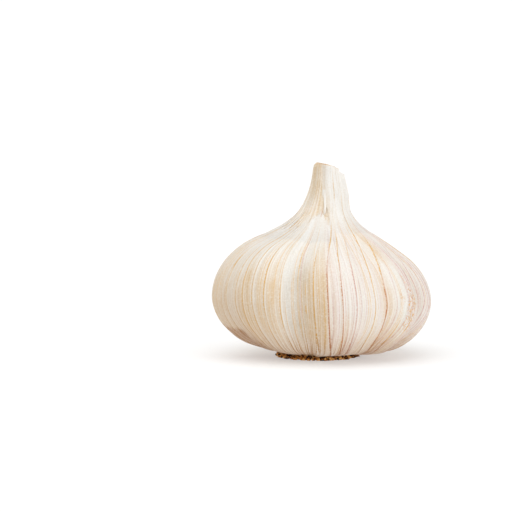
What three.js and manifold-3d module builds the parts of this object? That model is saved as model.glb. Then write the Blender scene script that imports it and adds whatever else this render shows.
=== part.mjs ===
// A whole, unpeeled garlic bulb, standing on its trimmed roots.
// Millimetres, +Z up, with the origin on the surface it stands on, under the middle of the bulb.
// A bearing is an angle about the upright axis, in degrees: 0 faces the front (-Y), 90 the right (+X).

import * as THREE from "three";
import { mergeVertices } from "three/addons/utils/BufferGeometryUtils.js";
import Module from "manifold-3d";

const wasm = await Module();
wasm.setup();

const FRONT_TO_BACK = 0.955; // depth of the bulb as a share of its width

// Outline of the skin from its edge at the root plate up to the cut neck. Each row gives the left side
// and then the right side, as distance right of the middle and height. The bulb leans a little, so the
// two sides differ.
const SKIN_OUTLINE = [
  [-11.7, 1.5, 9.7, 1.3],
  [-15.8, 2.3, 15.1, 1.4],
  [-20.3, 4.2, 20.5, 2.2],
  [-24.2, 7.1, 24.6, 4.8],
  [-27.4, 10.4, 27.9, 8.6],
  [-29.4, 14.3, 29.6, 12.7],
  [-30.0, 18.4, 29.8, 17.0],
  [-29.0, 23.2, 28.3, 21.5],
  [-26.2, 27.8, 25.0, 26.0],
  [-21.3, 31.5, 20.1, 29.8],
  [-15.5, 33.8, 15.2, 33.0],
  [-10.3, 36.2, 10.8, 35.7],
  [-6.6, 39.1, 8.0, 39.0],
  [-4.6, 42.6, 6.7, 42.2],
  [-3.3, 45.9, 5.7, 45.8],
  [-2.55, 49.1, 4.9, 49.2],
  [-2.1, 53.1, 4.5, 51.6],
];
const PLATE_MIDDLE = -1.0; // the root plate sits a little to the left of the bulb's middle

// Each clove under the skin: the bearing and depth (a share of the radius) of the groove before it, the
// bearing where it stands out most, and how far it sits above or below its neighbours.
const CLOVES = [
  { groove: -60, depth: 0.035, ridge: -36, lift: 0.5 },
  { groove: -10, depth: 0.085, ridge: 6, lift: 0.2 },
  { groove: 38, depth: 0.06, ridge: 52, lift: 0.0 },
  { groove: 66, depth: 0.05, ridge: 87, lift: -0.3 },
  { groove: 106, depth: 0.075, ridge: 127, lift: 0.3 },
  { groove: 148, depth: 0.06, ridge: 168, lift: -0.4 },
  { groove: 187, depth: 0.07, ridge: 203, lift: 0.4 },
  { groove: 219, depth: 0.05, ridge: 237, lift: 0.0 },
  { groove: 256, depth: 0.08, ridge: 277, lift: -1.0 },
];
const GROOVE_SHARPNESS = 2.2; // power of the round of a clove, from its ridge to its groove
const CREASE_SHARE = 0.55; // share of that round which ends in a crease; the rest is a smooth wave

// Ribs of the skin, and its pleats at the neck
const RIB_SPACING = 3.9; // degrees from a rib's crest to the hollow beside it
const RIB_HEIGHT = 0.16;
const PLEAT_HEIGHT = 0.22;

// The outer sheath that wraps the right side of the neck
const SHEATH = { from: 4, to: 196, standsOff: 1.15, top: 49.7 };
const SHEATH_FOOT = 0.735; // share of the way along the outline where the sheath leaves the neck

// The cut end of the neck
const NECK_WALL = 0.9;
const NECK_HOLLOW = 1.3;

// The root plate and its stubs
const PLATE_RADIUS = 9.9;
const PLATE_TOP = 3.0;
const DISH_RADIUS = 8.6;
const DISH_RIM = 0.75;
const DISH_DEPTH = 0.65;
const PLATE_GAP = 0.35; // clearance between the plate and the skin's recess
const STUB_ROWS = [
  { count: 30, root: 8.9, tip: 9.2, size: 0.66 },
  { count: 34, root: 9.35, tip: 10.3, size: 0.66 },
  { count: 38, root: 9.5, tip: 11.35, size: 0.64 },
];
const STUB_ROOT_HEIGHT = 1.0;
// How far the shortest and the longest stub would reach under the knife's cut
const SHORTEST_STUB = -0.15;
const LONGEST_STUB = 0.5;

const PAPER = new THREE.MeshStandardMaterial({ color: 0xefe5d6, roughness: 0.5, metalness: 0 });
const ROOT = new THREE.MeshStandardMaterial({ color: 0xb98e55, roughness: 0.85, metalness: 0 });

const radians = THREE.MathUtils.degToRad;
const smooth = THREE.MathUtils.smoothstep;
const lerp = THREE.MathUtils.lerp;

// Seeded draws, so that every build gives the same stubs.
function seededRandom(seed) {
  THREE.MathUtils.seededRandom(seed);
  return (low, high) => lerp(low, high, THREE.MathUtils.seededRandom());
}

const leftOutline = new THREE.SplineCurve(SKIN_OUTLINE.map(([x, z]) => new THREE.Vector2(x, z)));
const rightOutline = new THREE.SplineCurve(SKIN_OUTLINE.map(([, , x, z]) => new THREE.Vector2(x, z)));

// The clove that a bearing lies on, and how far it is from that clove's ridge (0) towards a groove (1).
function cloveAt(bearing) {
  const first = CLOVES[0].groove;
  const turned = THREE.MathUtils.euclideanModulo(bearing - first, 360) + first;
  const index = CLOVES.findLastIndex((clove) => turned >= clove.groove);
  const clove = CLOVES[index];
  const next = CLOVES[(index + 1) % CLOVES.length];
  const nextGroove = index + 1 < CLOVES.length ? next.groove : next.groove + 360;
  const before = turned < clove.ridge;
  const share = before
    ? (clove.ridge - turned) / (clove.ridge - clove.groove)
    : (turned - clove.ridge) / (nextGroove - clove.ridge);
  return { share, depth: before ? clove.depth : next.depth, lift: clove.lift };
}

// How far a clove has fallen away at a share of the way from its ridge to its groove, from 0 to 1.
function fallAway(share) {
  const crease = share ** GROOVE_SHARPNESS;
  const wave = (1 - Math.cos(Math.PI * share)) / 2;
  return lerp(wave, crease, CREASE_SHARE);
}

// The grooves are deepest round the middle of the bulb, and nearly gone at the neck.
function grooveStrength(height) {
  return lerp(0.3, 1, smooth(height, 0.5, 5)) * lerp(1, 0.12, smooth(height, 24, 41));
}

// The bulb's round at a place along its outline: its middle, its radius, and its height at a bearing.
function roundAt(place, bearing) {
  const left = leftOutline.getPoint(place);
  const right = rightOutline.getPoint(place);
  const height = lerp(left.y, right.y, (1 + Math.sin(radians(bearing))) / 2);
  return { middle: (left.x + right.x) / 2, radius: (right.x - left.x) / 2, height };
}

// Which way the skin faces there: its outward and its upward share.
function facingAt(place, bearing) {
  const step = 0.01;
  const before = roundAt(Math.max(0, place - step), bearing);
  const after = roundAt(Math.min(1, place + step), bearing);
  return new THREE.Vector2(after.height - before.height, before.radius - after.radius).normalize();
}

// Pleats round the neck, from three waves that never line up.
function pleatAt(bearing) {
  const a = radians(bearing);
  return (Math.sin(11 * a + 0.6) + Math.sin(17 * a + 2.1) + 0.7 * Math.sin(23 * a + 4.0)) / 2.7;
}

// How far the sheath stands off the neck at a bearing, and how high it reaches there.
function sheathAt(bearing) {
  const turned = THREE.MathUtils.euclideanModulo(bearing, 360);
  const begins = smooth(turned, SHEATH.from - 2, SHEATH.from + 2);
  const ends = smooth(turned, SHEATH.to - 4, SHEATH.to + 4);
  const outward = lerp(0.3, 1, Math.max(0, Math.sin(radians(turned))));
  return {
    lap: begins * (1 - ends) * outward * SHEATH.standsOff,
    top: SHEATH.top + 1.3 * Math.cos(radians(turned)) ** 2,
  };
}

// A point of the skin at a bearing, at a place along its outline, pushed out by an extra amount.
// Grooves, ribs and pleats all move it straight in or out of the surface.
function skinPoint(bearing, place, rib, extra = 0) {
  const { middle, radius, height } = roundAt(place, bearing);
  const { share, depth, lift } = cloveAt(bearing);
  const groove = depth * radius * fallAway(share) * grooveStrength(height);
  const ribs = RIB_HEIGHT * rib * smooth(height, 1, 6) * lerp(1, 0.4, smooth(height, 32, 46));
  const pleats = PLEAT_HEIGHT * pleatAt(bearing) * smooth(height, 30, 38);
  const facing = facingAt(place, bearing);
  const push = ribs + pleats + extra - groove;
  const r = radius + facing.x * push;
  const x = middle + r * Math.sin(radians(bearing));
  const y = -r * FRONT_TO_BACK * Math.cos(radians(bearing));
  const cloveLift = lift * (1 - share ** 2) * smooth(height, 1.5, 7) * (1 - smooth(height, 26, 36));
  return new THREE.Vector3(x, y, height + facing.y * push + cloveLift);
}

// Bearings of the mesh's columns. There is an odd number of steps from each groove to each ridge, so that
// hollows and rib crests take turns and every groove is a hollow.
function columns() {
  const list = [];
  CLOVES.forEach((clove, i) => {
    const end = i + 1 < CLOVES.length ? CLOVES[i + 1].groove : CLOVES[0].groove + 360;
    for (const [from, to] of [[clove.groove, clove.ridge], [clove.ridge, end]]) {
      const steps = Math.max(3, 2 * Math.round((to - from) / RIB_SPACING / 2) + 1);
      for (let k = 0; k < steps; k++) {
        list.push({ bearing: lerp(from, to, k / steps), rib: from === clove.groove ? k % 2 : (k + 1) % 2 });
      }
    }
  });
  return list;
}

// A closed mesh from rings of points, each ring with as many points as the next, and a pole at each end.
// The first pole is the lower one, and each ring runs anticlockwise seen from above.
function closedBody(rings, lowPole, highPole) {
  const count = rings[0].length;
  const points = [lowPole, ...rings.flat(), highPole];
  const at = (ring, k) => 1 + ring * count + (k % count);
  const faces = [];
  for (let k = 0; k < count; k++) {
    faces.push(0, at(0, k + 1), at(0, k));
    faces.push(points.length - 1, at(rings.length - 1, k), at(rings.length - 1, k + 1));
    for (let ring = 0; ring + 1 < rings.length; ring++) {
      faces.push(at(ring, k), at(ring, k + 1), at(ring + 1, k + 1));
      faces.push(at(ring, k), at(ring + 1, k + 1), at(ring + 1, k));
    }
  }
  return new THREE.BufferGeometry().setFromPoints(points).setIndex(faces);
}

// The wrapped bulb: a recess for the root plate, the skin over the cloves, the neck with its sheath, and
// the cut end of the neck.
function bulbGeometry() {
  const cols = columns();
  const bodyRows = 25;
  const sheathRows = 5;
  const topRows = 2;
  const ringOf = (point) => cols.map(({ bearing, rib }) => point(bearing, rib));

  // Place along the outline where a height is reached.
  const placeOf = (height) => {
    let low = 0.5;
    let high = 1;
    for (let i = 0; i < 30; i++) {
      const middle = (low + high) / 2;
      if (leftOutline.getPoint(middle).y < height) low = middle;
      else high = middle;
    }
    return low;
  };

  const recessRadius = PLATE_RADIUS + PLATE_GAP;
  const recessTop = PLATE_TOP + PLATE_GAP;
  const recessWall = (height) => (bearing) =>
    new THREE.Vector3(
      PLATE_MIDDLE + recessRadius * Math.sin(radians(bearing)),
      -recessRadius * FRONT_TO_BACK * Math.cos(radians(bearing)),
      height,
    );
  const rings = [ringOf(recessWall(recessTop)), ringOf(recessWall(SKIN_OUTLINE[0][1] + 0.2))];
  for (let i = 0; i <= bodyRows; i++) {
    rings.push(ringOf((bearing, rib) => skinPoint(bearing, (SHEATH_FOOT * i) / bodyRows, rib)));
  }
  for (let i = 1; i <= sheathRows; i++) {
    rings.push(
      ringOf((bearing, rib) => {
        const { lap, top } = sheathAt(bearing);
        const share = i / sheathRows;
        const place = lerp(SHEATH_FOOT, placeOf(top), share);
        return skinPoint(bearing, place, rib, lap * smooth(share, 0, 0.75));
      }),
    );
  }
  for (let i = 0; i <= topRows; i++) {
    rings.push(
      ringOf((bearing, rib) => {
        const start = placeOf(sheathAt(bearing).top) + 0.006;
        return skinPoint(bearing, lerp(start, 1, i / topRows), rib);
      }),
    );
  }
  rings.push(ringOf((bearing, rib) => skinPoint(bearing, 1, rib, -NECK_WALL)));
  const dish = new THREE.Vector3(0, 0, -NECK_HOLLOW);
  rings.push(ringOf((bearing, rib) => skinPoint(bearing, 1, rib, -NECK_WALL * 1.5).add(dish)));

  const lowPole = new THREE.Vector3(PLATE_MIDDLE, 0, recessTop);
  const neckTop = roundAt(1, 0);
  const highPole = new THREE.Vector3(neckTop.middle, 0, neckTop.height - NECK_HOLLOW);
  return closedBody(rings, lowPole, highPole);
}

// A closed geometry as a solid that can be joined and cut.
function solidOf(geometry) {
  const bare = geometry.clone();
  bare.deleteAttribute("normal");
  bare.deleteAttribute("uv");
  const merged = mergeVertices(bare, 1e-4);
  return new wasm.Manifold(
    new wasm.Mesh({
      numProp: 3,
      vertProperties: merged.attributes.position.array,
      triVerts: new Uint32Array(merged.index.array),
    }),
  );
}

function geometryOf(solid) {
  const mesh = solid.getMesh();
  return new THREE.BufferGeometry()
    .setAttribute("position", new THREE.BufferAttribute(mesh.vertProperties, 3))
    .setIndex(new THREE.BufferAttribute(mesh.triVerts, 1));
}

// The plate itself: flat where it is hidden above, and a shallow dish below.
function plateGeometry() {
  const sides = 48;
  const dishRings = 5;
  const ring = (radius, height) =>
    Array.from({ length: sides }, (_, k) => {
      const a = (2 * Math.PI * k) / sides;
      return new THREE.Vector3(radius * Math.sin(a), -radius * FRONT_TO_BACK * Math.cos(a), height);
    });
  const rings = [];
  for (let i = 1; i <= dishRings; i++) {
    const share = i / dishRings;
    rings.push(ring(DISH_RADIUS * share, DISH_RIM + DISH_DEPTH * (1 - share ** 2)));
  }
  rings.push(ring(PLATE_RADIUS, DISH_RIM + 0.15));
  rings.push(ring(PLATE_RADIUS, PLATE_TOP));
  return closedBody(
    rings,
    new THREE.Vector3(0, 0, DISH_RIM + DISH_DEPTH),
    new THREE.Vector3(0, 0, PLATE_TOP),
  );
}

// One root stub: a slightly tapered peg from a point in the plate to its tip.
function stubGeometry(from, to, size) {
  const along = new THREE.Vector3().subVectors(to, from);
  const peg = new THREE.CylinderGeometry(size * 0.86, size, along.length(), 5);
  peg.applyQuaternion(
    new THREE.Quaternion().setFromUnitVectors(new THREE.Vector3(0, 1, 0), along.clone().normalize()),
  );
  const middle = new THREE.Vector3().addVectors(from, to).multiplyScalar(0.5);
  return peg.translate(middle.x, middle.y, middle.z);
}

// The root plate with its stubs, all trimmed by one knife cut at the height of the surface it stands on.
function rootPlateGeometry() {
  const draw = seededRandom(7);
  let solid = solidOf(plateGeometry());
  for (const row of STUB_ROWS) {
    for (let k = 0; k < row.count; k++) {
      const bearing = radians((360 * (k + draw(-0.32, 0.32))) / row.count);
      const place = (radius, height) =>
        new THREE.Vector3(radius * Math.sin(bearing), -radius * FRONT_TO_BACK * Math.cos(bearing), height);
      const below = draw(SHORTEST_STUB, LONGEST_STUB);
      const from = place(row.root, STUB_ROOT_HEIGHT);
      const to = place(row.tip + draw(-0.4, 0.3), -below);
      solid = solid.add(solidOf(stubGeometry(from, to, row.size * draw(0.85, 1.15))));
    }
  }
  const underKnife = new THREE.BoxGeometry(40, 40, 10).translate(0, 0, -5);
  solid = solid.subtract(solidOf(underKnife));
  // Only the outer surface is kept, so that no pocket stays sealed between stubs.
  const [outer] = solid.decompose().sort((a, b) => b.volume() - a.volume());
  return geometryOf(outer).translate(PLATE_MIDDLE, 0, 0);
}

function namedMesh(name, geometry, material) {
  const mesh = new THREE.Mesh(geometry, material);
  mesh.name = name;
  return mesh;
}

const garlic = new THREE.Group();
garlic.add(namedMesh("bulb", bulbGeometry(), PAPER));
garlic.add(namedMesh("root_plate", rootPlateGeometry(), ROOT));

export default garlic;
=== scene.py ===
"""A whole, unpeeled garlic bulb standing on its trimmed roots, finished for a studio picture.

The form is worked out in millimetres and put into meshes in metres. A bearing is an angle about the
upright axis in degrees: 0 faces the front (-Y) and 90 the right (+X). A place is a share of the way
along the skin's outline, from its edge at the root plate (0) up to the cut neck (1).
"""

import logging
import math
from dataclasses import dataclass, field
from enum import Enum

import bpy
import numpy as np
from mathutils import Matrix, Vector


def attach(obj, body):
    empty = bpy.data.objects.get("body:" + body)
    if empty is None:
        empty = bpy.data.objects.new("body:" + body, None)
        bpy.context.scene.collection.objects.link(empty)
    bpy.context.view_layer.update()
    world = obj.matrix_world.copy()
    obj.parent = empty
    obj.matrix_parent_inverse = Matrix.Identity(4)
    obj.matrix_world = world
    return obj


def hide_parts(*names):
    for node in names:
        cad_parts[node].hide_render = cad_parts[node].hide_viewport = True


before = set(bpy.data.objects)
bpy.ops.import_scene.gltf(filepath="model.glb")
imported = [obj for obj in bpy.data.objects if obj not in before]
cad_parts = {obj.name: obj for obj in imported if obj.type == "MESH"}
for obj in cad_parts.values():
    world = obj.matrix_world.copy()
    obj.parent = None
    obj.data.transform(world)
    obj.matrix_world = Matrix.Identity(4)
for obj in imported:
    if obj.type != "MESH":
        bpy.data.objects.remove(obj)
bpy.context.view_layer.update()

Array = np.ndarray
log = logging.getLogger("garlic")

MM = 0.001
FRONT_TO_BACK = 0.955
# Share of the neck's pleats that every layer of skin follows, and where the cut rim's rise begins
LAYER_PLEATS = 0.6
CROWN_FOOT = 0.93
# How far right of the bulb's middle the root plate lies, in millimetres
PLATE_MIDDLE = -1.0


# Numbers and waves


def smooth(x: Array | float, low: float, high: float) -> Array:
    """Rises from 0 at low to 1 at high with level ends: three t squared less two t cubed."""
    t = np.clip((np.asarray(x, float) - low) / (high - low), 0.0, 1.0)
    return t * t * (3.0 - 2.0 * t)


def lerp(a: Array | float, b: Array | float, t: Array | float) -> Array:
    """The value a share t of the way from a to b."""
    return a + (b - a) * t


def bump(x: Array, middle: float, width: float) -> Array:
    """A round hump of height 1: e to the minus square of the distance from its middle in widths."""
    return np.exp(-(((x - middle) / width) ** 2))


def within(x: Array, rise: float, top: float, ebb: float, end: float) -> Array:
    """Goes smoothly from 0 at rise to 1 at top, and from 1 at ebb back to 0 at end."""
    return smooth(x, rise, top) * (1.0 - smooth(x, ebb, end))


def turn_from(bearing: Array, middle: Array | float = 0.0) -> Array:
    """Degrees from a middle bearing, which is the front if none is given, between -180 and 180."""
    return (bearing - middle + 180.0) % 360.0 - 180.0


@dataclass(frozen=True)
class Ripple:
    """A smooth, seamless, uneven wave round the bulb.

    It is a sum of sine waves with whole numbers of turns, each drifting a little on its way up.
    """

    seed: int
    least_turns: int
    most_turns: int
    waves: int = 10
    drift: float = 3.0

    def at(self, bearing: Array, place: Array) -> Array:
        """The wave's height, about -1 to 1.

        Args:
            bearing: Bearings in degrees.
            place: Places along the outline, of a shape that goes with the bearings.

        Returns:
            The sum over the waves of the sine of turns times bearing plus phase plus drift times place,
            over 1.6 times the square root of half their number.
        """
        draw = np.random.default_rng(self.seed)
        total = 0.0
        for _ in range(self.waves):
            turns = draw.integers(self.least_turns, self.most_turns + 1)
            phase = draw.uniform(0.0, 2.0 * math.pi)
            drift = draw.uniform(-self.drift, self.drift)
            total = total + np.sin(turns * np.radians(bearing) + phase + drift * place)
        return total / math.sqrt(self.waves / 2.0) / 1.6


# Meshes


def ring_points(middle: Array | float, radius: Array, angle: Array, height: Array) -> Array:
    """Points round an upright axis, on rings that are less deep than wide.

    Args:
        middle: How far right the axis stands, in millimetres.
        radius: Distances from the axis in millimetres.
        angle: Bearings in radians.
        height: Heights in millimetres.

    Returns:
        Points in metres: middle plus radius times sine to the right, and radius times the bulb's depth over
        its width times cosine to the front.
    """
    x = middle + radius * np.sin(angle)
    y = -radius * FRONT_TO_BACK * np.cos(angle)
    return np.stack(np.broadcast_arrays(x, y, height), -1) * MM


def make_piece(name: str, points: Array, faces: list[Array]) -> bpy.types.Object:
    """Puts points and faces into a mesh object that sits at the origin.

    Args:
        name: The piece's name.
        points: Points in metres, one a row.
        faces: Arrays of point numbers, one face a row.

    Returns:
        The new object.
    """
    mesh = bpy.data.meshes.new(name)
    rows = [row for part in faces for row in part.tolist()]
    mesh.from_pydata(points.reshape(-1, 3).tolist(), [], rows)
    mesh.polygons.foreach_set("use_smooth", np.full(len(mesh.polygons), True))
    mesh.update()
    piece = bpy.data.objects.new(name, mesh)
    bpy.context.scene.collection.objects.link(piece)
    return piece


def paint(piece: bpy.types.Object, name: str, values: Array) -> None:
    """Stores a colour of four numbers, or a vector of three, at every point of a piece.

    Args:
        piece: The piece.
        name: The attribute's name.
        values: One row a point.
    """
    wide = values.shape[-1] == 4
    attribute = piece.data.attributes.new(name, "FLOAT_COLOR" if wide else "FLOAT_VECTOR", "POINT")
    flat = np.ascontiguousarray(values, np.float32).ravel()
    attribute.data.foreach_set("color" if wide else "vector", flat)


def paint_share(piece: bpy.types.Object, name: str, share: Array) -> None:
    """Stores one number at every point of a piece, as a shade of grey."""
    paint(piece, name, np.stack([share, share, share, np.ones_like(share)], -1))


def round_faces(rings: int, count: int, first: int = 0, closed: bool = True) -> Array:
    """Faces between rings of points, anticlockwise from outside when the rings run round and upwards.

    Args:
        rings: How many rings.
        count: Points in a ring.
        first: Number of the first point.
        closed: Whether each ring's last point joins its first.

    Returns:
        One row of four point numbers a face.
    """
    ring = np.arange(rings - 1)[:, None]
    k = np.arange(count if closed else count - 1)[None, :]
    after = (k + 1) % count
    low, high = first + ring * count, first + (ring + 1) * count
    return np.stack([low + k, low + after, high + after, high + k], -1).reshape(-1, 4)


def capped_faces(rings: int, count: int) -> list[Array]:
    """Faces of rings that a lower and an upper pole close.

    Args:
        rings: How many rings.
        count: Points in a ring.

    Returns:
        The faces between the rings, then the triangles round the lower pole, whose number follows the
        rings' last, and round the upper pole, whose number comes next.
    """
    k = np.arange(count)
    after = (k + 1) % count
    low_pole, high_pole = np.full(count, rings * count), np.full(count, rings * count + 1)
    top = (rings - 1) * count
    return [
        round_faces(rings, count),
        np.stack([low_pole, after, k], -1),
        np.stack([high_pole, top + k, top + after], -1),
    ]


def shell_faces(rows: int, columns: int) -> list[Array]:
    """Faces of a thin sheet with two sides.

    Args:
        rows: Rows of points on each side.
        columns: Points in a row.

    Returns:
        The faces of the outer side, whose points come first, of the inner side, and of the edge all round.
    """
    outer = round_faces(rows, columns, closed=False)
    inner = round_faces(rows, columns, rows * columns, closed=False)[:, ::-1]
    grid = np.arange(rows * columns).reshape(rows, columns)
    edge = np.concatenate([grid[0, :-1], grid[:-1, -1], grid[-1, :0:-1], grid[:0:-1, 0]])
    after = np.roll(edge, -1)
    far = rows * columns
    return [outer, inner, np.stack([after, edge, edge + far, after + far], -1)]


# The bulb's form


@dataclass(frozen=True)
class Clove:
    """A clove that presses out under the skin.

    The groove before it has a bearing and a depth, a share of the radius; the ridge is where the clove
    stands out most; and the lift is how far it sits above its neighbours, in millimetres.
    """

    groove: float
    depth: float
    ridge: float
    lift: float


CLOVES = (
    Clove(-60.0, 0.035, -36.0, 0.5),
    Clove(-10.0, 0.085, 6.0, 0.2),
    Clove(38.0, 0.06, 52.0, 0.0),
    Clove(66.0, 0.05, 87.0, -0.3),
    Clove(106.0, 0.075, 127.0, 0.3),
    Clove(148.0, 0.06, 168.0, -0.4),
    Clove(187.0, 0.07, 203.0, 0.4),
    Clove(219.0, 0.05, 237.0, 0.0),
    Clove(256.0, 0.08, 277.0, -1.0),
)

# Left side and right side of the skin, each as distance right of the middle and height
OUTLINE = (
    (-11.7, 1.5, 9.7, 1.3),
    (-15.8, 2.3, 15.1, 1.4),
    (-20.3, 4.2, 20.5, 2.2),
    (-24.2, 7.1, 24.6, 4.8),
    (-27.4, 10.4, 27.9, 8.6),
    (-29.4, 14.3, 29.6, 12.7),
    (-30.0, 18.4, 29.8, 17.0),
    (-29.0, 23.2, 28.3, 21.5),
    (-26.2, 27.8, 25.0, 26.0),
    (-21.3, 31.5, 20.1, 29.8),
    (-15.5, 33.8, 15.2, 33.0),
    (-10.3, 36.2, 10.8, 35.7),
    (-6.6, 39.1, 8.0, 39.0),
    (-4.6, 42.6, 6.7, 42.2),
    (-3.3, 45.9, 5.7, 45.8),
    (-2.55, 49.1, 4.9, 49.2),
    (-2.1, 53.1, 4.5, 51.6),
)


@dataclass
class BulbForm:
    """The form that every layer of the skin follows."""

    outline: Array = field(default_factory=lambda: np.array(OUTLINE))
    cloves: tuple[Clove, ...] = CLOVES
    pleat_height: float = 0.22

    def outline_at(self, place: Array) -> Array:
        """The outline's four numbers at each place.

        Args:
            place: Places along the outline.

        Returns:
            A cubic through the rows whose slope at each row is half of the way between its neighbours.
        """
        rows = self.outline
        last = len(rows) - 1
        along = np.clip(np.asarray(place, float), 0.0, 1.0) * last
        i = np.minimum(along.astype(int), last - 1)
        t = (along - i)[..., None]
        before, after = rows[np.maximum(i - 1, 0)], rows[np.minimum(i + 2, last)]
        a, b = rows[i], rows[i + 1]
        leave, arrive = (b - before) / 2.0, (after - a) / 2.0
        cubic = (2.0 * a - 2.0 * b + leave + arrive) * t**3
        square = (-3.0 * a + 3.0 * b - 2.0 * leave - arrive) * t**2
        return cubic + square + leave * t + a

    def round_at(self, bearing: Array, place: Array) -> tuple[Array, Array, Array]:
        """The bulb's round at each place, which tilts from the left outline to the right one.

        Args:
            bearing: Bearings in degrees.
            place: Places along the outline.

        Returns:
            The round's middle and radius, halfway between the outlines and half of the way across, and its
            height, which goes from the left outline's to the right one's with the sine of the bearing.
        """
        side = self.outline_at(place)
        across = (1.0 + np.sin(np.radians(bearing))) / 2.0
        middle = (side[..., 0] + side[..., 2]) / 2.0
        radius = (side[..., 2] - side[..., 0]) / 2.0
        return middle, radius, lerp(side[..., 1], side[..., 3], across)

    def facing_at(self, bearing: Array, place: Array) -> tuple[Array, Array]:
        """The way that the skin faces.

        Args:
            bearing: Bearings in degrees.
            place: Places along the outline.

        Returns:
            Its outward share, the change of height along the outline, and its upward share, the fall of the
            radius, both over their joint length.
        """
        step = 0.01
        _, radius_before, height_before = self.round_at(bearing, np.maximum(place - step, 0.0))
        _, radius_after, height_after = self.round_at(bearing, np.minimum(place + step, 1.0))
        out, up = height_after - height_before, radius_before - radius_after
        length = np.hypot(out, up)
        return out / length, up / length

    def clove_at(self, bearing: Array) -> tuple[Array, Array, Array]:
        """Where each bearing lies on its clove.

        Args:
            bearing: Bearings in degrees.

        Returns:
            The share of the way from the clove's ridge (0) to the groove on that side (1), that groove's
            depth, and the clove's lift.
        """
        groove = np.array([c.groove for c in self.cloves])
        ridge = np.array([c.ridge for c in self.cloves])
        depth = np.array([c.depth for c in self.cloves])
        lift = np.array([c.lift for c in self.cloves])
        turned = (bearing - groove[0]) % 360.0 + groove[0]
        i = np.searchsorted(groove, turned, side="right") - 1
        next_groove = np.append(groove[1:], groove[0] + 360.0)[i]
        before = turned < ridge[i]
        share = np.where(
            before,
            (ridge[i] - turned) / (ridge[i] - groove[i]),
            (turned - ridge[i]) / (next_groove - ridge[i]),
        )
        return share, np.where(before, depth[i], np.roll(depth, -1)[i]), lift[i]

    def place_of(self, height: Array) -> Array:
        """Places above the middle where the left outline reaches each height, read off a fine table."""
        table = np.linspace(0.4, 1.0, 601)
        return np.interp(height, self.outline_at(table)[:, 1], table)

    def narrow_at(self, place: Array) -> Array:
        """How much narrower the bulb is than its belly: the missing share of 60 mm, to the power 1.5."""
        side = self.outline_at(place)
        return np.clip(1.0 - (side[..., 2] - side[..., 0]) / 60.0, 0.0, 1.0) ** 1.5

    def height_at(self, bearing: Array, place: Array) -> Array:
        """Height in millimetres, before grooves and lifts."""
        return self.round_at(bearing, place)[2]

    def pleats(self, bearing: Array) -> Array:
        """Three waves round the neck that never line up, lowest at the front.

        Args:
            bearing: Bearings in degrees.

        Returns:
            The weighted mean of sines of 11, 17 and 23 turns, from -1 to 1, calmed by up to four fifths at
            the front.
        """
        a = np.radians(bearing)
        calm = 1.0 - 0.8 * bump(turn_from(bearing), -9.0, 16.0)
        return calm * (np.sin(11 * a + 0.6) + np.sin(17 * a + 2.1) + 0.7 * np.sin(23 * a + 4.0)) / 2.7

    def points(self, bearing: Array, place: Array, push: Array | float, pleated: float) -> Array:
        """Points of the skin in metres.

        Args:
            bearing: Bearings in degrees.
            place: Places along the outline.
            push: Millimetres that each point is moved straight out of the surface.
            pleated: Share of the neck's pleats that the layer follows.

        Returns:
            The round's point at each bearing, less the groove there, plus pleats and push, all along the
            way that the skin faces, and then the clove's lift.
        """
        middle, radius, height = self.round_at(bearing, place)
        out, up = self.facing_at(bearing, place)
        share, depth, lift = self.clove_at(bearing)
        fallen = lerp((1.0 - np.cos(np.pi * share)) / 2.0, share**2.2, 0.55)
        strength = lerp(0.3, 1.0, smooth(height, 0.5, 5.0)) * lerp(1.0, 0.12, smooth(height, 24.0, 41.0))
        pleat = self.pleat_height * pleated * self.pleats(bearing) * smooth(height, 30.0, 38.0)
        moved = pleat + push - depth * radius * fallen * strength
        r = radius + out * moved
        raised = lift * (1.0 - share**2) * smooth(height, 1.5, 7.0) * (1.0 - smooth(height, 26.0, 36.0))
        return ring_points(middle, r, np.radians(bearing), height + up * moved + raised)


# Veins and tints of the skin


class VeinTone(Enum):
    """Colour of a vein of the skin."""

    AMBER = 0
    RUSSET = 1
    ROSE = 2


@dataclass(frozen=True)
class Vein:
    """A fibre that shows in the skin along one bearing.

    Its width is in millimetres, and it shows best between two heights, in millimetres. The lean is how many
    degrees it swings away from its bearing where the bulb narrows.
    """

    bearing: float
    tone: VeinTone
    strength: float
    width: float = 0.2
    low: float = -2.0
    high: float = 44.0
    lean: float = 0.0


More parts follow.
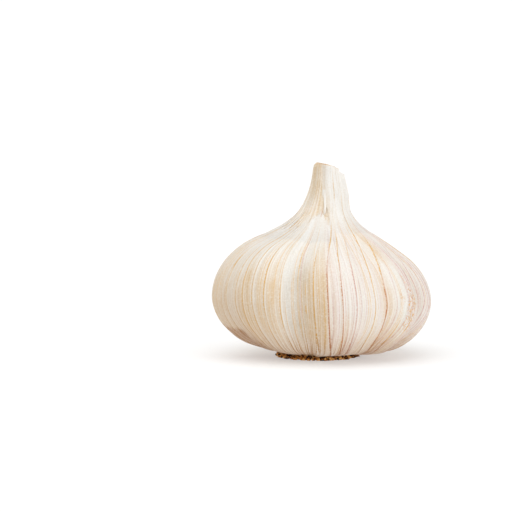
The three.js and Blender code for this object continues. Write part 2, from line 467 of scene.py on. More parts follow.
FRONT_VEINS = (
    Vein(-88.0, VeinTone.AMBER, 0.6, 0.3, 2.0, 38.0),
    Vein(-83.0, VeinTone.AMBER, 0.7, 0.34, -2.0, 41.0),
    Vein(-78.0, VeinTone.AMBER, 0.7, 0.32, -2.0, 36.0),
    Vein(-72.2, VeinTone.AMBER, 0.75, 0.3),
    Vein(-67.0, VeinTone.AMBER, 0.5, 0.24),
    Vein(-63.0, VeinTone.AMBER, 1.0, 0.3, 26.3, 30.6),
    Vein(-62.0, VeinTone.AMBER, 0.6),
    Vein(-57.0, VeinTone.AMBER, 0.3, 0.16),
    Vein(-51.8, VeinTone.AMBER, 0.9, 0.22),
    Vein(-48.6, VeinTone.AMBER, 0.3, 0.14),
    Vein(-45.4, VeinTone.AMBER, 1.0, 0.23),
    Vein(-41.8, VeinTone.AMBER, 0.3, 0.14),
    Vein(-38.3, VeinTone.AMBER, 0.9, 0.22),
    Vein(-34.6, VeinTone.AMBER, 0.3, 0.16),
    Vein(-31.1, VeinTone.AMBER, 1.0, 0.23, 14.0, 37.0),
    Vein(-31.1, VeinTone.AMBER, 0.55, 0.23, -2.0, 17.0),
    Vein(-26.6, VeinTone.AMBER, 0.3, 0.16, 2.0, 24.0),
    Vein(-22.3, VeinTone.AMBER, 1.0, 0.27, 10.0, 27.0),
    Vein(-22.3, VeinTone.AMBER, 0.65, 0.27, -2.0, 13.0),
    Vein(-16.6, VeinTone.AMBER, 0.4, 0.16, 2.0, 20.0),
    Vein(-12.5, VeinTone.AMBER, 0.5, 0.18, -2.0, 27.0),
    Vein(-13.0, VeinTone.AMBER, 0.5, 0.44, 25.0, 36.0, 3.0),
    Vein(-8.4, VeinTone.AMBER, 1.0, 0.28, 20.0, 24.6),
    Vein(-8.4, VeinTone.AMBER, 1.0, 0.26, 14.4, 18.4),
    Vein(-5.9, VeinTone.AMBER, 0.4, 0.2, 20.0, 32.0, 4.0),
    Vein(-6.0, VeinTone.RUSSET, 0.5, 0.22, 38.8, 41.6),
    Vein(-3.5, VeinTone.AMBER, 1.0, 0.24, 3.0, 35.0, 10.0),
    Vein(-1.0, VeinTone.AMBER, 0.35, 0.16, 2.0, 14.0),
    Vein(4.1, VeinTone.RUSSET, 1.0, 0.28, -2.0, 32.5, 17.0),
    Vein(4.1, VeinTone.AMBER, 1.0, 0.34, 30.5, 38.5, 17.0),
    Vein(6.6, VeinTone.ROSE, 0.55, 0.22, 4.0, 22.0),
    Vein(11.7, VeinTone.RUSSET, 0.9, 0.24, -2.0, 31.0, 13.0),
    Vein(11.7, VeinTone.AMBER, 1.0, 0.24, 27.0, 38.0, 13.0),
    Vein(14.6, VeinTone.ROSE, 0.35, 0.18, -2.0, 28.0, 10.0),
    Vein(19.3, VeinTone.ROSE, 1.0, 0.27, -2.0, 32.0, 16.0),
    Vein(19.3, VeinTone.AMBER, 0.5, 0.27, 29.0, 39.0, 16.0),
    Vein(22.0, VeinTone.ROSE, 0.5, 0.18, -2.0, 30.0, 14.0),
    Vein(26.0, VeinTone.AMBER, 0.45, 0.18, 8.0, 40.0, 24.0),
    Vein(27.0, VeinTone.AMBER, 0.55, 0.2, 43.5, 52.0),
    Vein(30.6, VeinTone.AMBER, 1.0, 0.25, 4.0, 46.0, 25.0),
    Vein(30.6, VeinTone.RUSSET, 0.9, 0.25, -2.0, 6.0, 25.0),
    Vein(38.4, VeinTone.RUSSET, 1.0, 0.29, -2.0, 28.0, 36.0),
    Vein(38.4, VeinTone.AMBER, 0.6, 0.29, 2.0, 14.0, 36.0),
    Vein(38.4, VeinTone.AMBER, 1.0, 0.27, 24.0, 41.0, 36.0),
    Vein(41.0, VeinTone.AMBER, 0.4, 0.16, 2.0, 18.0, 30.0),
    Vein(44.0, VeinTone.ROSE, 0.4, 0.18, -2.0, 34.0, 30.0),
    Vein(48.4, VeinTone.AMBER, 0.9, 0.26, 4.0, 16.0, 36.0),
    Vein(48.4, VeinTone.RUSSET, 1.0, 0.26, -2.0, 7.5, 36.0),
    Vein(51.4, VeinTone.ROSE, 0.45, 0.18, 4.0, 34.0, 40.0),
    Vein(54.4, VeinTone.AMBER, 0.5, 0.24, 8.0, 20.0, 40.0),
    Vein(58.4, VeinTone.AMBER, 1.0, 0.46, 8.0, 24.0, 50.0),
    Vein(58.4, VeinTone.ROSE, 1.0, 0.32, 21.0, 34.0, 50.0),
    Vein(62.5, VeinTone.AMBER, 0.4, 0.18, 4.0, 24.0, 50.0),
    Vein(66.5, VeinTone.ROSE, 1.0, 0.26, -2.0, 32.0, 50.0),
    Vein(69.5, VeinTone.ROSE, 0.5, 0.18, -2.0, 30.0, 50.0),
    Vein(73.4, VeinTone.ROSE, 0.9, 0.24, -2.0, 30.0, 50.0),
    Vein(77.4, VeinTone.ROSE, 0.7, 0.3, 2.0, 34.0),
    Vein(81.5, VeinTone.RUSSET, 0.6, 0.3, 8.0, 40.0, -6.0),
    Vein(86.0, VeinTone.AMBER, 0.9, 0.4, 2.0, 46.0, -4.0),
)


@dataclass(frozen=True)
class Band:
    """A strip of skin that is more tan than the rest, or less so where its strength is below 0.

    Bearing and width are in degrees; low and high are the heights, in millimetres, that it fades out at.
    """

    bearing: float
    width: float
    low: float
    high: float
    strength: float


# Tan strips in hollows are painted shade; some pale ones paint light on the ridge, a flank and a shoulder
FRONT_BANDS = (
    Band(-80.0, 7.0, 1.0, 27.0, 0.45),
    Band(-65.0, 4.0, 1.0, 26.0, 0.3),
    Band(-48.6, 3.0, 0.0, 26.0, 0.6),
    Band(-41.8, 3.2, 0.0, 30.0, 0.85),
    Band(-34.4, 2.6, 6.0, 30.0, 0.4),
    Band(-26.6, 3.2, 4.0, 30.0, 0.55),
    Band(-17.5, 3.4, 4.0, 36.0, -0.2),
    Band(-8.0, 3.8, 3.0, 31.0, 0.9),
    Band(-2.5, 3.0, 3.0, 29.0, 0.45),
    Band(1.6, 2.6, 2.0, 34.0, 0.7),
    Band(6.5, 2.0, 4.0, 20.0, 0.25),
    Band(12.5, 2.2, 2.0, 18.0, 0.5),
    Band(20.0, 8.0, 12.0, 38.0, -0.2),
    Band(31.0, 2.0, 2.0, 16.0, 0.5),
    Band(39.5, 3.4, 1.0, 28.0, 0.75),
    Band(46.0, 3.0, 1.0, 15.0, 0.55),
    Band(56.0, 5.5, 6.0, 26.0, -0.25),
    Band(67.0, 2.4, 8.0, 32.0, 0.35),
    Band(72.0, 4.0, 4.0, 30.0, -0.2),
    Band(49.0, 6.0, 25.0, 42.0, 0.5),
    Band(-56.0, 18.0, 29.0, 44.0, -0.35),
)


@dataclass
class SkinTints:
    """Where the skin's veins and tints lie, as numbers from 0 to 1 for the finish to colour."""

    form: BulbForm
    seed: int = 11
    crown_bearings: tuple[float, ...] = (
        -180.0, -90.0, -55.0, -30.0, 0.0, 30.0, 50.0, 65.0, 90.0, 130.0, 180.0,
    )
    crown_rises: tuple[float, ...] = (0.0, 0.0, 0.17, 0.37, 0.5, 0.43, 0.1, -0.2, -0.25, 0.0, 0.0)

    def main_veins(self) -> list[Vein]:
        """The skin's strong veins.

        Returns:
            The front's own veins, and seeded ones every 5.6 degrees round the rest.
        """
        draw = np.random.default_rng(self.seed)
        found = list(FRONT_VEINS)
        for bearing in np.arange(88.0, 274.0, 5.6):
            tone = VeinTone(int(draw.choice(3, p=(0.45, 0.25, 0.3))))
            low, high = float(draw.uniform(-8.0, 4.0)), float(draw.uniform(34.0, 58.0))
            place, width = float(bearing + draw.uniform(-2.2, 2.2)), float(draw.uniform(0.2, 0.3))
            lean = float(draw.uniform(-2.0, 2.0))
            found.append(Vein(place, tone, float(draw.uniform(0.5, 1.0)), width, low, high, lean))
        return found

    def fine_veins(self) -> list[Vein]:
        """The skin's faint veins.

        Returns:
            Seeded veins every 1.45 degrees all round, warmer on the left and pinker on the right.
        """
        draw = np.random.default_rng(self.seed + 1)
        found = []
        for bearing in np.arange(0.0, 360.0, 1.45):
            warm = math.sin(math.radians(bearing)) < 0.05
            tone = VeinTone(int(draw.choice(3, p=(0.88, 0.0, 0.12) if warm else (0.45, 0.0, 0.55))))
            low = float(draw.uniform(-20.0, 16.0))
            high = low + float(draw.uniform(16.0, 50.0))
            place = float(bearing + draw.uniform(-0.6, 0.6))
            found.append(Vein(place, tone, float(draw.uniform(0.1, 0.7)), 0.1, low, high))
        return found

    def flow(self, bearing: Array, place: Array) -> Array:
        """Which fibre passes each point, because low on the right they swing to the front.

        Args:
            bearing: Bearings in degrees.
            place: Places along the outline.

        Returns:
            The fibre's bearing at the belly: the point's own, plus a swing that grows from nothing at
            18 mm above the table with the square of the depth below that.
        """
        front = turn_from(bearing)
        swing = lerp(8.0, 34.0, smooth(front, 32.0, 62.0)) * smooth(front, 12.0, 24.0)
        swing = swing * (1.0 - smooth(front, 72.0, 176.0))
        return bearing + swing * np.clip(1.0 - self.form.height_at(bearing, place) / 18.0, 0.0, 1.0) ** 2

    def along_fibres(self, fibre: Array, place: Array) -> Array:
        """Where fibres lie at each place, read off a table of the flow every quarter of a degree.

        Args:
            fibre: The fibres' bearings at the belly.
            place: Places along the outline.

        Returns:
            The fibres' bearings, with one row a place.
        """
        table = np.linspace(-180.0, 180.0, 1441)
        wanted = turn_from(fibre)
        flows = (self.flow(table, np.full_like(table, p)) for p in place.ravel())
        return np.stack([np.interp(wanted, flow, table) for flow in flows])

    def nearest(self, veins: list[Vein], bearing: Array, place: Array) -> tuple[Array, Array, Array]:
        """The vein nearest to each point.

        Args:
            veins: The veins to look among.
            bearing: Bearings in degrees.
            place: Places along the outline.

        Returns:
            How far right of the nearest vein each point lies in millimetres, the turn between them over
            the flow's own spread; that vein's width; and how strongly it shows there in each tone: its
            strength, faded beyond its two heights.
        """
        _, radius, height = self.form.round_at(bearing, place)
        swayed = self.flow(bearing, place) + 0.3 * Ripple(5, 2, 7, 6, 4.0).at(bearing, place)
        narrow = self.form.narrow_at(place)
        best = np.full(swayed.shape, 180.0)
        width = np.full(swayed.shape, 0.1)
        shown = np.zeros(swayed.shape + (3,))
        for vein in veins:
            away = turn_from(swayed, vein.bearing + vein.lean * narrow)
            soft = min(2.0, 0.15 * (vein.high - vein.low))
            fade = within(height, vein.low - soft, vein.low + soft, vein.high - 4.0 * soft, vein.high)
            new = np.zeros_like(shown)
            new[..., vein.tone.value] = vein.strength * fade
            closer, same = np.abs(away) < np.abs(best), away == best
            shown = np.where(closer[..., None], new, np.where(same[..., None], shown + new, shown))
            best, width = np.where(closer, away, best), np.where(closer, vein.width, width)
        spread = self.flow(bearing + 0.5, place) - self.flow(bearing - 0.5, place)
        return np.radians(best) * radius / (spread % 360.0), width, shown

    def tan_and_shade_tint(self, bearing: Array, place: Array, neck_share: Array | float = 1.0) -> Array:
        """How tan the skin is, partly its own tone and partly painted shade.

        Args:
            bearing: Bearings in degrees.
            place: Places along the outline.
            neck_share: Share of the neck's tan, painted shade on its left, that the layer shows.

        Returns:
            A little everywhere; more on the left flank and in the grooves, painted shade there; in strips
            and uneven streaks; and on the left of the neck, painted shade there too.
        """
        height = self.form.height_at(bearing, place)
        share, _, _ = self.form.clove_at(bearing)
        left = 1.15 * smooth(-np.sin(np.radians(bearing + 4.0)), -0.05, 0.9)
        streaks = Ripple(21, 9, 40, 14, 3.0).at(bearing, place)
        front = turn_from(bearing)
        away = 1.0 - smooth(np.abs(front), 84.0, 96.0)
        body = within(height, 3.0, 9.0, 20.0, 31.0)
        # Painted shade: more tan on the left flank, away from the key light, and towards the grooves behind
        tan = 0.08 + 0.26 * left * (1.0 - smooth(height, 22.0, 36.0)) + 0.12 * streaks
        tan = tan + 0.45 * (1.0 - away) * share**3 * body
        for band in FRONT_BANDS:
            shown = within(height, band.low, band.low + 6.0, band.high - 9.0, band.high)
            tan = tan + band.strength * bump(front, band.bearing, band.width) * shown
        neck = smooth(height, 34.0, 40.0)
        # Painted shade on the left of the neck
        shaded = within(-front, -28.0, -16.0, 140.0, 175.0)
        low_left = 0.7 * bump(front, -14.0, 16.0) * smooth(height, 35.5, 38.5)
        folded = np.maximum(bump(front, 3.0, 9.0), low_left)
        fold = lerp(0.26, 0.74, np.maximum(smooth(height, 41.0, 47.0), folded))
        shaded = neck_share * shaded * (fold + 0.2 * Ripple(23, 20, 50, 10, 2.0).at(bearing, place))
        behind = (1.0 - away) * (0.14 + 0.2 * streaks)
        return np.clip(lerp(tan, 0.08 + shaded + 0.08 * streaks + behind, neck), 0.0, 1.0)

    def rose_tint(self, bearing: Array, place: Array) -> Array:
        """How pink the skin is.

        Args:
            bearing: Bearings in degrees.
            place: Places along the outline.

        Returns:
            A little everywhere, more on the right flank and in its uneven streaks, and a strip of blush
            right of the middle, all fading towards the neck.
        """
        height = self.form.height_at(bearing, place)
        right = smooth(np.sin(np.radians(bearing - 2.0)), 0.0, 0.35)
        streaks = Ripple(33, 8, 36, 14, 3.0).at(bearing, place)
        blush = 0.5 * bump(turn_from(bearing), 7.6, 3.6) * within(height, 4.0, 8.0, 22.0, 35.0)
        rose = 0.04 + 0.3 * right + 0.3 * streaks * right + blush
        return np.clip(rose * (1.0 - smooth(height, 33.0, 40.0)), 0.0, 1.0)

    def dust_and_shade(self, bearing: Array, place: Array) -> Array:
        """How brown the skin is, from dirt and from painted shade.

        Args:
            bearing: Bearings in degrees.
            place: Places along the outline.

        Returns:
            A share that grows towards the roots, dirt there and painted shade of the underside too, with
            humps of painted shade on the left and in the middle, and most past the fold low on the left,
            the painted shadow of the lobe behind it.
        """
        height = self.form.height_at(bearing, place)
        front = turn_from(bearing)
        wave = 0.5 * Ripple(46, 6, 40, 12, 0.0).at(bearing, 0.0 * place)
        low = 1.0 - smooth(height + wave, 0.0, 15.0)
        # Painted shade on the lower left flank and on the left flank at mid height
        left = 0.36 * bump(front, -66.0, 16.0) * low
        left = left + 0.3 * bump(front, -62.0, 28.0) * bump(height, 14.0, 10.0)
        # Painted shade in the front hollow, and over the lower left and middle
        middle = 0.26 * bump(front, -3.0, 9.0) * bump(height, 18.0, 9.0)
        shade = within(-front, -30.0, 0.0, 95.0, 125.0)
        middle = middle + 0.12 * shade * bump(height, 10.0, 9.0)
        # Dirt and painted shade of the underside towards the roots, plus painted shadow past the fold
        brown = 0.72 * low**1.7 + left + middle + 0.9 * self.past_fold(bearing, place, 0.8)
        return np.clip(brown, 0.0, 1.0)

    def past_fold(self, bearing: Array, place: Array, soft: float) -> Array:
        """Whether a point lies past the fold low on the left, 0 to 1.

        Args:
            bearing: Bearings in degrees.
            place: Places along the outline.
            soft: Degrees over which the change takes place low down, on either side.

        Returns:
            1 where the bearing is further left than the fold, which stands upright at 62 degrees, turns
            back above 7.4 mm and softens as it rises, and 0 again past 95 degrees.
        """
        height = self.form.height_at(bearing, place)
        front = turn_from(bearing)
        wave = 0.5 * np.sin(height * 2.1) + 0.3 * np.sin(height * 5.3)
        back = 6.5 * np.clip(height - 7.4, 0.0, 20.0)
        past = -front - (62.0 + wave + back + 3.0 * np.clip(4.4 - height, 0.0, 4.0))
        soft = soft + 11.0 * smooth(height, 4.6, 9.0)
        return smooth(past, -soft, soft) * (1.0 - smooth(-front, 70.0, 95.0))

    def scar(self, bearing: Array, place: Array) -> Array:
        """How scarred the skin is.

        Args:
            bearing: Bearings in degrees.
            place: Places along the outline.

        Returns:
            One rough patch low on the right: 1 well inside an uneven oval, and 0 outside it.
        """
        height = self.form.height_at(bearing, place)
        edge = 0.35 * Ripple(44, 20, 60, 12, 60.0).at(bearing, place)
        reach = np.hypot(turn_from(bearing, 54.5) / 6.5, (height - 15.0) / 7.0) + edge
        return 1.0 - smooth(reach, 0.55, 1.1)

    def dress(
        self,
        piece: bpy.types.Object,
        bearing: Array,
        place: Array,
        layers: int = 1,
        extra: Array = np.zeros((0, 2)),
        neck_share: Array | float = 1.0,
        soiled: Array | float = 0.0,
    ) -> None:
        """Stores the tints on a piece whose points are these, layer after layer, with some extra points.

        Args:
            piece: The piece.
            bearing: Bearings of a layer's points.
            place: Their places.
            layers: How many layers of such points the piece has.
            extra: Bearing and place of each further point, one a row.
            neck_share: Share of the neck's tan, painted shade on its left, that the layer shows.
            soiled: Further brown, for each of a layer's points.
        """
        shape = np.broadcast(bearing, place).shape
        full = np.ones(len(extra))
        given = zip((bearing, place, soiled, neck_share), (extra[:, 0], extra[:, 1], full, full))
        b, p, brown, neck_share = (
            np.concatenate([np.tile(np.broadcast_to(values, shape).ravel(), layers), more])
            for values, more in given
        )
        height = self.form.height_at(b, p)
        off, width, shown = self.nearest(self.main_veins(), b, p)
        paint(piece, "near", np.stack([off, off**2, width], -1))
        paint(piece, "veins", np.concatenate([shown, self.tan_and_shade_tint(b, p, neck_share)[:, None]], -1))
        off, _, shown = self.nearest(self.fine_veins(), b, p)
        turned = np.abs(turn_from(b))
        side = smooth(turned, 48.0, 70.0)
        ends = smooth(height, 30.0, 40.0) * (1.0 - 0.7 * smooth(turned, 84.0, 100.0))
        shown *= ((1.0 - ends) * (1.1 + 0.6 * side + 0.9 * (1.0 - smooth(height, 2.0, 9.0))))[:, None]
        paint(piece, "fine", np.stack([off, off**2, shown[:, 0], shown[:, 2]], -1))
        # Dirt and painted shade together, with the cut rim's own brown added
        dust_and_shade = np.clip(self.dust_and_shade(b, p) + brown, 0.0, 1.0)
        neck = smooth(height, 31.0, 42.0)
        paint(piece, "tints", np.stack([self.rose_tint(b, p), self.scar(b, p), dust_and_shade, neck], -1))
        a = np.radians(self.flow(b, p))
        paint(piece, "along", np.stack([np.sin(a), -np.cos(a), p], -1))
        paint(piece, "shade_and_folds", self.shade_and_folds(b, p))

    def shade_and_folds(self, bearing: Array, place: Array) -> Array:
        """How the skin looks where it is hollowed and folded, with painted shade in the hollows.

        Args:
            bearing: Bearings in degrees.
            place: Places along the outline.

        Returns:
            How grey it is, painted shade in hollows, on the flanks and on the neck's left; how crinkled
            across; and how dotted its veins are; each a sum of humps round bearings and heights.
        """
        height = self.form.height_at(bearing, place)
        share, _, _ = self.form.clove_at(bearing)
        front = turn_from(bearing)
        belly = within(height, 2.0, 10.0, 24.0, 34.0)
        behind = smooth(np.abs(front), 84.0, 96.0)
        # Grey is painted shade: in the front hollows, in the grooves behind, and on the neck's left
        grey = 0.95 * bump(front, -12.2, 2.6) + 0.25 * bump(front, -8.0, 2.6)
        grey = (grey + 0.5 * bump(front, -17.5, 3.0) + 0.5 * behind * share**4) * belly
        grey = grey + 0.35 * bump(front, -50.0, 24.0) * smooth(height, 38.5, 43.0)
        grey = grey + 0.3 * bump(front, -4.0, 7.0) * belly
        # More painted shade on the left flank and in a hollow on the right
        flanks = 0.35 * bump(front, -62.0, 24.0) + 0.45 * bump(front, 69.0, 3.0)
        grey = grey + flanks * bump(height, 15.0, 9.0)
        crinkle = (bump(front, -15.5, 5.0) + 0.4 * behind * share**2) * belly
        dots = bump(front, -3.4, 2.0) * (1.0 - smooth(height, 9.0, 13.0))
        dots = dots + bump(front, 57.2, 3.0) * bump(height, 15.0, 8.0)
        return np.clip(np.stack([grey, crinkle, dots], -1), 0.0, 1.0)

    def crown(self, bearing: Array) -> Array:
        """How far the neck's cut rim rises above its tilted round, in millimetres, at each bearing."""
        return np.interp(turn_from(bearing), self.crown_bearings, self.crown_rises)

    def relief(self, bearing: Array, place: Array) -> Array:
        """Small relief of the skin in millimetres.

        Args:
            bearing: Bearings in degrees.
            place: Places along the outline.

        Returns:
            The sum of fine fibres, slow dents, a sharp ridge, a hollow and a step at the front, a fold low
            on the left, and fine pleats that grow on the neck.
        """
        height = self.form.height_at(bearing, place)
        fibres = Ripple(51, 70, 150, 16, 5.0).at(bearing, place)
        dents = Ripple(52, 3, 14, 12, 22.0).at(bearing, place)
        neck = smooth(height, 31.0, 38.0)
        fine = Ripple(53, 24, 60, 12, 3.0).at(bearing, place) * neck
        body = smooth(height, 1.0, 6.0)
        front = turn_from(bearing)
        belly = within(height, 4.0, 12.0, 26.0, 35.0)
        beside = front - 17.0 * self.form.narrow_at(place)
        step = 0.09 * smooth(beside, 2.4, 5.0) * (1.0 - smooth(beside, 6.0, 24.0))
        ridge = 0.2 * bump(front, -20.5, 3.2) - 0.36 * bump(front, -13.6, 3.4)
        edge = self.past_fold(bearing, place, 4.0)
        fold = 0.5 * edge * (1.0 - edge) - 0.3 * self.past_fold(bearing, place, 1.6)
        hem = 0.12 * np.sin(np.radians(front) * 40.0) * bump(front, 66.0, 12.0)
        hem = hem * (1.0 - smooth(height, 2.0, 3.4))
        small = 0.022 * fibres * (1.0 - neck) + 0.09 * dents
        pleats = 0.065 * fine * (1.0 - 0.8 * bump(front, -9.0, 12.0))
        return body * small + belly * (step + ridge) + fold + hem + pleats


# Finishes


def colour(screen: tuple[int, int, int]) -> tuple[float, float, float, float]:
    """A screen colour as the light that a shader takes.

    Args:
        screen: Red, green and blue, from 0 to 255.

    Returns:
        Linear red, green and blue, from 0 to 1 by the standard screen curve, and 1.
    """
    shares = (channel / 255.0 for channel in screen)
    return (*(c / 12.92 if c <= 0.04045 else ((c + 0.055) / 1.055) ** 2.4 for c in shares), 1.0)


class Recipe:
    """A material's nodes, laid down one by one round a principled shader."""

    def __init__(self, name: str) -> None:
        """Starts a material of this name."""
        self.material = bpy.data.materials.new(name)
        self.material.use_nodes = True
        self.tree = self.material.node_tree
        self.tree.nodes.clear()
        self.shader = self.tree.nodes.new("ShaderNodeBsdfPrincipled")
        output = self.tree.nodes.new("ShaderNodeOutputMaterial")
        self.tree.links.new(self.shader.outputs[0], output.inputs["Surface"])

    def feed(self, socket: bpy.types.NodeSocket, value: object) -> None:
        """Links another node's output to a socket, or sets the socket's own value.

        Args:
            socket: The socket.
            value: The output, or the value.
        """
        if isinstance(value, bpy.types.NodeSocket):
            self.tree.links.new(value, socket)
        else:
            socket.default_value = value

    def node(
        self, kind: str, inputs: dict[int | str, object], output: int | str = 0, **settings: object
    ) -> bpy.types.NodeSocket:
        """Adds a node.

        Args:
            kind: The node's type.
            inputs: A value or another node's output for each input that is set.
            output: Which output is wanted.
            settings: The node's own settings.

        Returns:
            That output.
        """
        node = self.tree.nodes.new(kind)
        for name, value in settings.items():
            setattr(node, name, value)
        for key, value in inputs.items():
            self.feed(node.inputs[key], value)
        return node.outputs[output]

    def split(self, value: object, kind: str = "XYZ") -> tuple[bpy.types.NodeSocket, ...]:
        """The three numbers of a vector (XYZ) or of a colour (Color)."""
        return tuple(self.node(f"ShaderNodeSeparate{kind}", {0: value}, k) for k in range(3))

    def mix(self, share: object, a: object, b: object) -> bpy.types.NodeSocket:
        """Colour a turned into colour b by a share."""
        inputs = {0: share, 6: a, 7: b}
        return self.node("ShaderNodeMix", inputs, 2, data_type="RGBA", clamp_factor=True)

    def blend(self, share: object, a: object, b: object) -> bpy.types.NodeSocket:
        """Number a turned into number b by a share."""
        return self.node("ShaderNodeMix", {0: share, 2: a, 3: b}, 0)

    def sum(self, way: str, a: object, b: object, clamp: bool = False) -> bpy.types.NodeSocket:
        """A sum of two numbers: ADD, MULTIPLY, POWER and so on."""
        return self.node("ShaderNodeMath", {0: a, 1: b}, operation=way, use_clamp=clamp)

    def span(
        self, value: object, low: float, high: float, to_low: float = 0.0, to_high: float = 1.0
    ) -> bpy.types.NodeSocket:
        """A number moved from one range to another, smoothly and within it."""
        inputs = {"Value": value, "From Min": low, "From Max": high, "To Min": to_low, "To Max": to_high}
        return self.node("ShaderNodeMapRange", inputs, interpolation_type="SMOOTHSTEP")

    def noise(
        self, vector: object, scale: float, detail: float = 2.0, rough: float = 0.5
    ) -> bpy.types.NodeSocket:
        """Soft noise of a scale, about 0.5 on average."""
        inputs = {"Vector": vector, "Scale": scale, "Detail": detail, "Roughness": rough}
        return self.node("ShaderNodeTexNoise", inputs)

    def stretched(self, vector: object, scale: tuple[float, float, float]) -> bpy.types.NodeSocket:
        """A vector stretched by a factor along each axis."""
        return self.node("ShaderNodeMapping", {"Vector": vector, "Scale": scale})

    def attribute(self, name: str, output: str) -> bpy.types.NodeSocket:
        """A number, colour or vector that is stored on the piece."""
        return self.node("ShaderNodeAttribute", {}, output, attribute_name=name)

    def place(self) -> bpy.types.NodeSocket:
        """The point's own place on the piece, in metres."""
        return self.node("ShaderNodeTexCoord", {}, "Object")

    def bump(
        self, height: object, distance: float, normal: object = None, strength: float = 1.0
    ) -> bpy.types.NodeSocket:
        """The way that the surface faces, leant by a height.

        Args:
            height: The height, from 0 to 1.
            distance: Metres that a height of 1 stands for.
            normal: The way that it faces before, where another bump leans it already.
            strength: Share of the leaning that is used.

        Returns:
            The leant normal.
        """
        inputs = {"Height": height, "Distance": distance, "Strength": strength}
        if normal is not None:
            inputs["Normal"] = normal
        return self.node("ShaderNodeBump", inputs)


# Its tan, grey and brown tints also paint shade, and the pale line beside each vein is a painted highlight
@dataclass(frozen=True)
class PaperyFinish:
    """Dry garlic skin: cream paper with tan and pink tints, coloured veins, fine fibres and crinkles."""

    name: str
    cream: tuple[int, int, int] = (228, 225, 218)
    white: tuple[int, int, int] = (243, 240, 234)
    # Tan of the skin's own tint, also used for painted shade in grooves and on the left
    tan: tuple[int, int, int] = (217, 191, 153)
    straw: tuple[int, int, int] = (205, 178, 140)
    rose: tuple[int, int, int] = (226, 208, 201)
    amber: tuple[int, int, int] = (218, 168, 82)
    russet: tuple[int, int, int] = (188, 117, 70)
    plum: tuple[int, int, int] = (198, 140, 126)
    # Dark brown of the skin by the roots, which past the fold paints shadow
    bark_and_shade: tuple[int, int, int] = (150, 96, 42)
    # Grey of painted shade in hollows and on the flanks
    grey: tuple[int, int, int] = (188, 179, 163)
    # Brown of dirt towards the roots, which also paints shade under the bulb
    dust_and_shade_tone: tuple[int, int, int] = (196, 158, 112)
    scar: tuple[int, int, int] = (226, 166, 80)
    roughness: float = 0.5

    def threads(self, r: Recipe, along: object, neck: object) -> object:
        """Fine fibres that run from the roots up to the neck.

        Args:
            r: The recipe.
            along: The point's fibre and place.
            neck: How much of the neck the point has, from 0 to 1.

        Returns:
            Noise stretched along the fibres, fine on the body and coarser on the neck.
        """
        fine = r.noise(r.stretched(along, (74.0, 74.0, 2.4)), 1.0, 2.0, 0.7)
        coarse = r.noise(r.stretched(along, (13.0, 13.0, 2.6)), 1.0, 3.0, 0.65)
        return r.blend(neck, fine, coarse)

    def line(self, r: Recipe, off: object, off_squared: object, width: object, guard: float) -> object:
        """A vein's own line.

        Args:
            r: The recipe.
            off: How far right of the vein the point lies, in millimetres.
            off_squared: The square of that, which stays true where two veins' sides meet.
            width: The vein's width in millimetres.
            guard: The square from which nothing shows.

        Returns:
            1 on the line, 0 from its width away, and 0 where two veins' sides meet.
        """
        share = r.sum("DIVIDE", r.sum("ABSOLUTE", off, 0.0), width)
        return r.sum("MULTIPLY", r.span(share, 1.0, 0.0), r.span(off_squared, guard, guard * 0.4))

    def make(self) -> bpy.types.Material:
        """Builds the material: tints with painted shade among them, veins broken up along their length with
        a painted highlight beside them, fibres, and a papery bump.

        Returns:
            The material.
        """
        r = Recipe(self.name)
        # What is stored at each point, and the noises
        veins = r.attribute("veins", "Color")
        tan = r.attribute("veins", "Alpha")
        tints = r.attribute("tints", "Color")
        neck = r.attribute("tints", "Alpha")
        amber, russet, plum = r.split(veins, "Color")
        rose, scar, dust_and_shade = r.split(tints, "Color")
        off, off_squared, width = r.split(r.attribute("near", "Vector"))
        fine = r.attribute("fine", "Color")
        fine_plum = r.attribute("fine", "Alpha")
        fine_off, fine_squared, fine_amber = r.split(fine, "Color")
        along = r.attribute("along", "Vector")
        place = r.place()
        thread = self.threads(r, along, neck)
        grain = r.noise(place, 1100.0, 3.0, 0.65)
        patches = r.noise(place, 150.0, 3.0, 0.6)
        speckle = r.noise(place, 2500.0, 2.0, 0.7)

        # Paper with its tints, threads and speckles; tan, grey and brown also paint shade
        # Tan, partly the skin's own and partly painted shade
        tan_and_shade_share = r.sum("MULTIPLY", tan, r.span(patches, 0.3, 0.7, 0.75, 1.15), True)
        base = r.mix(neck, colour(self.cream), colour(self.white))
        base = r.mix(tan_and_shade_share, base, colour(self.tan))
        base = r.mix(r.sum("MULTIPLY", rose, r.span(grain, 0.3, 0.7, 0.4, 1.0)), base, colour(self.rose))
        base = r.mix(r.span(thread, 0.52, 0.74, 0.0, 0.4), base, colour(self.straw))
        base = r.mix(r.span(thread, 0.48, 0.28, 0.0, 0.5), base, colour(self.white))
        grey, crinkle, dots = r.split(r.attribute("shade_and_folds", "Vector"))
        # Grey painted shade in hollows and on the flanks
        base = r.mix(r.sum("MULTIPLY", grey, r.span(patches, 0.3, 0.7, 0.5, 0.85)), base, colour(self.grey))
        # Brown towards the roots, dirt and painted shade together, and dark brown past the fold, painted
        # shadow
        dust_and_shade_share = r.sum("MULTIPLY", dust_and_shade, r.span(thread, 0.3, 0.7, 0.65, 1.0), True)
        base = r.mix(dust_and_shade_share, base, colour(self.dust_and_shade_tone))
        base = r.mix(r.span(dust_and_shade_share, 0.5, 0.95, 0.0, 0.95), base, colour(self.bark_and_shade))
        warm = r.sum("MULTIPLY", r.span(speckle, 0.5, 0.72), r.span(tan_and_shade_share, 0.0, 1.0, 0.16, 0.42))
        base = r.mix(warm, base, colour(self.straw))
        base = r.mix(r.span(speckle, 0.5, 0.28, 0.0, 0.35), base, colour(self.white))

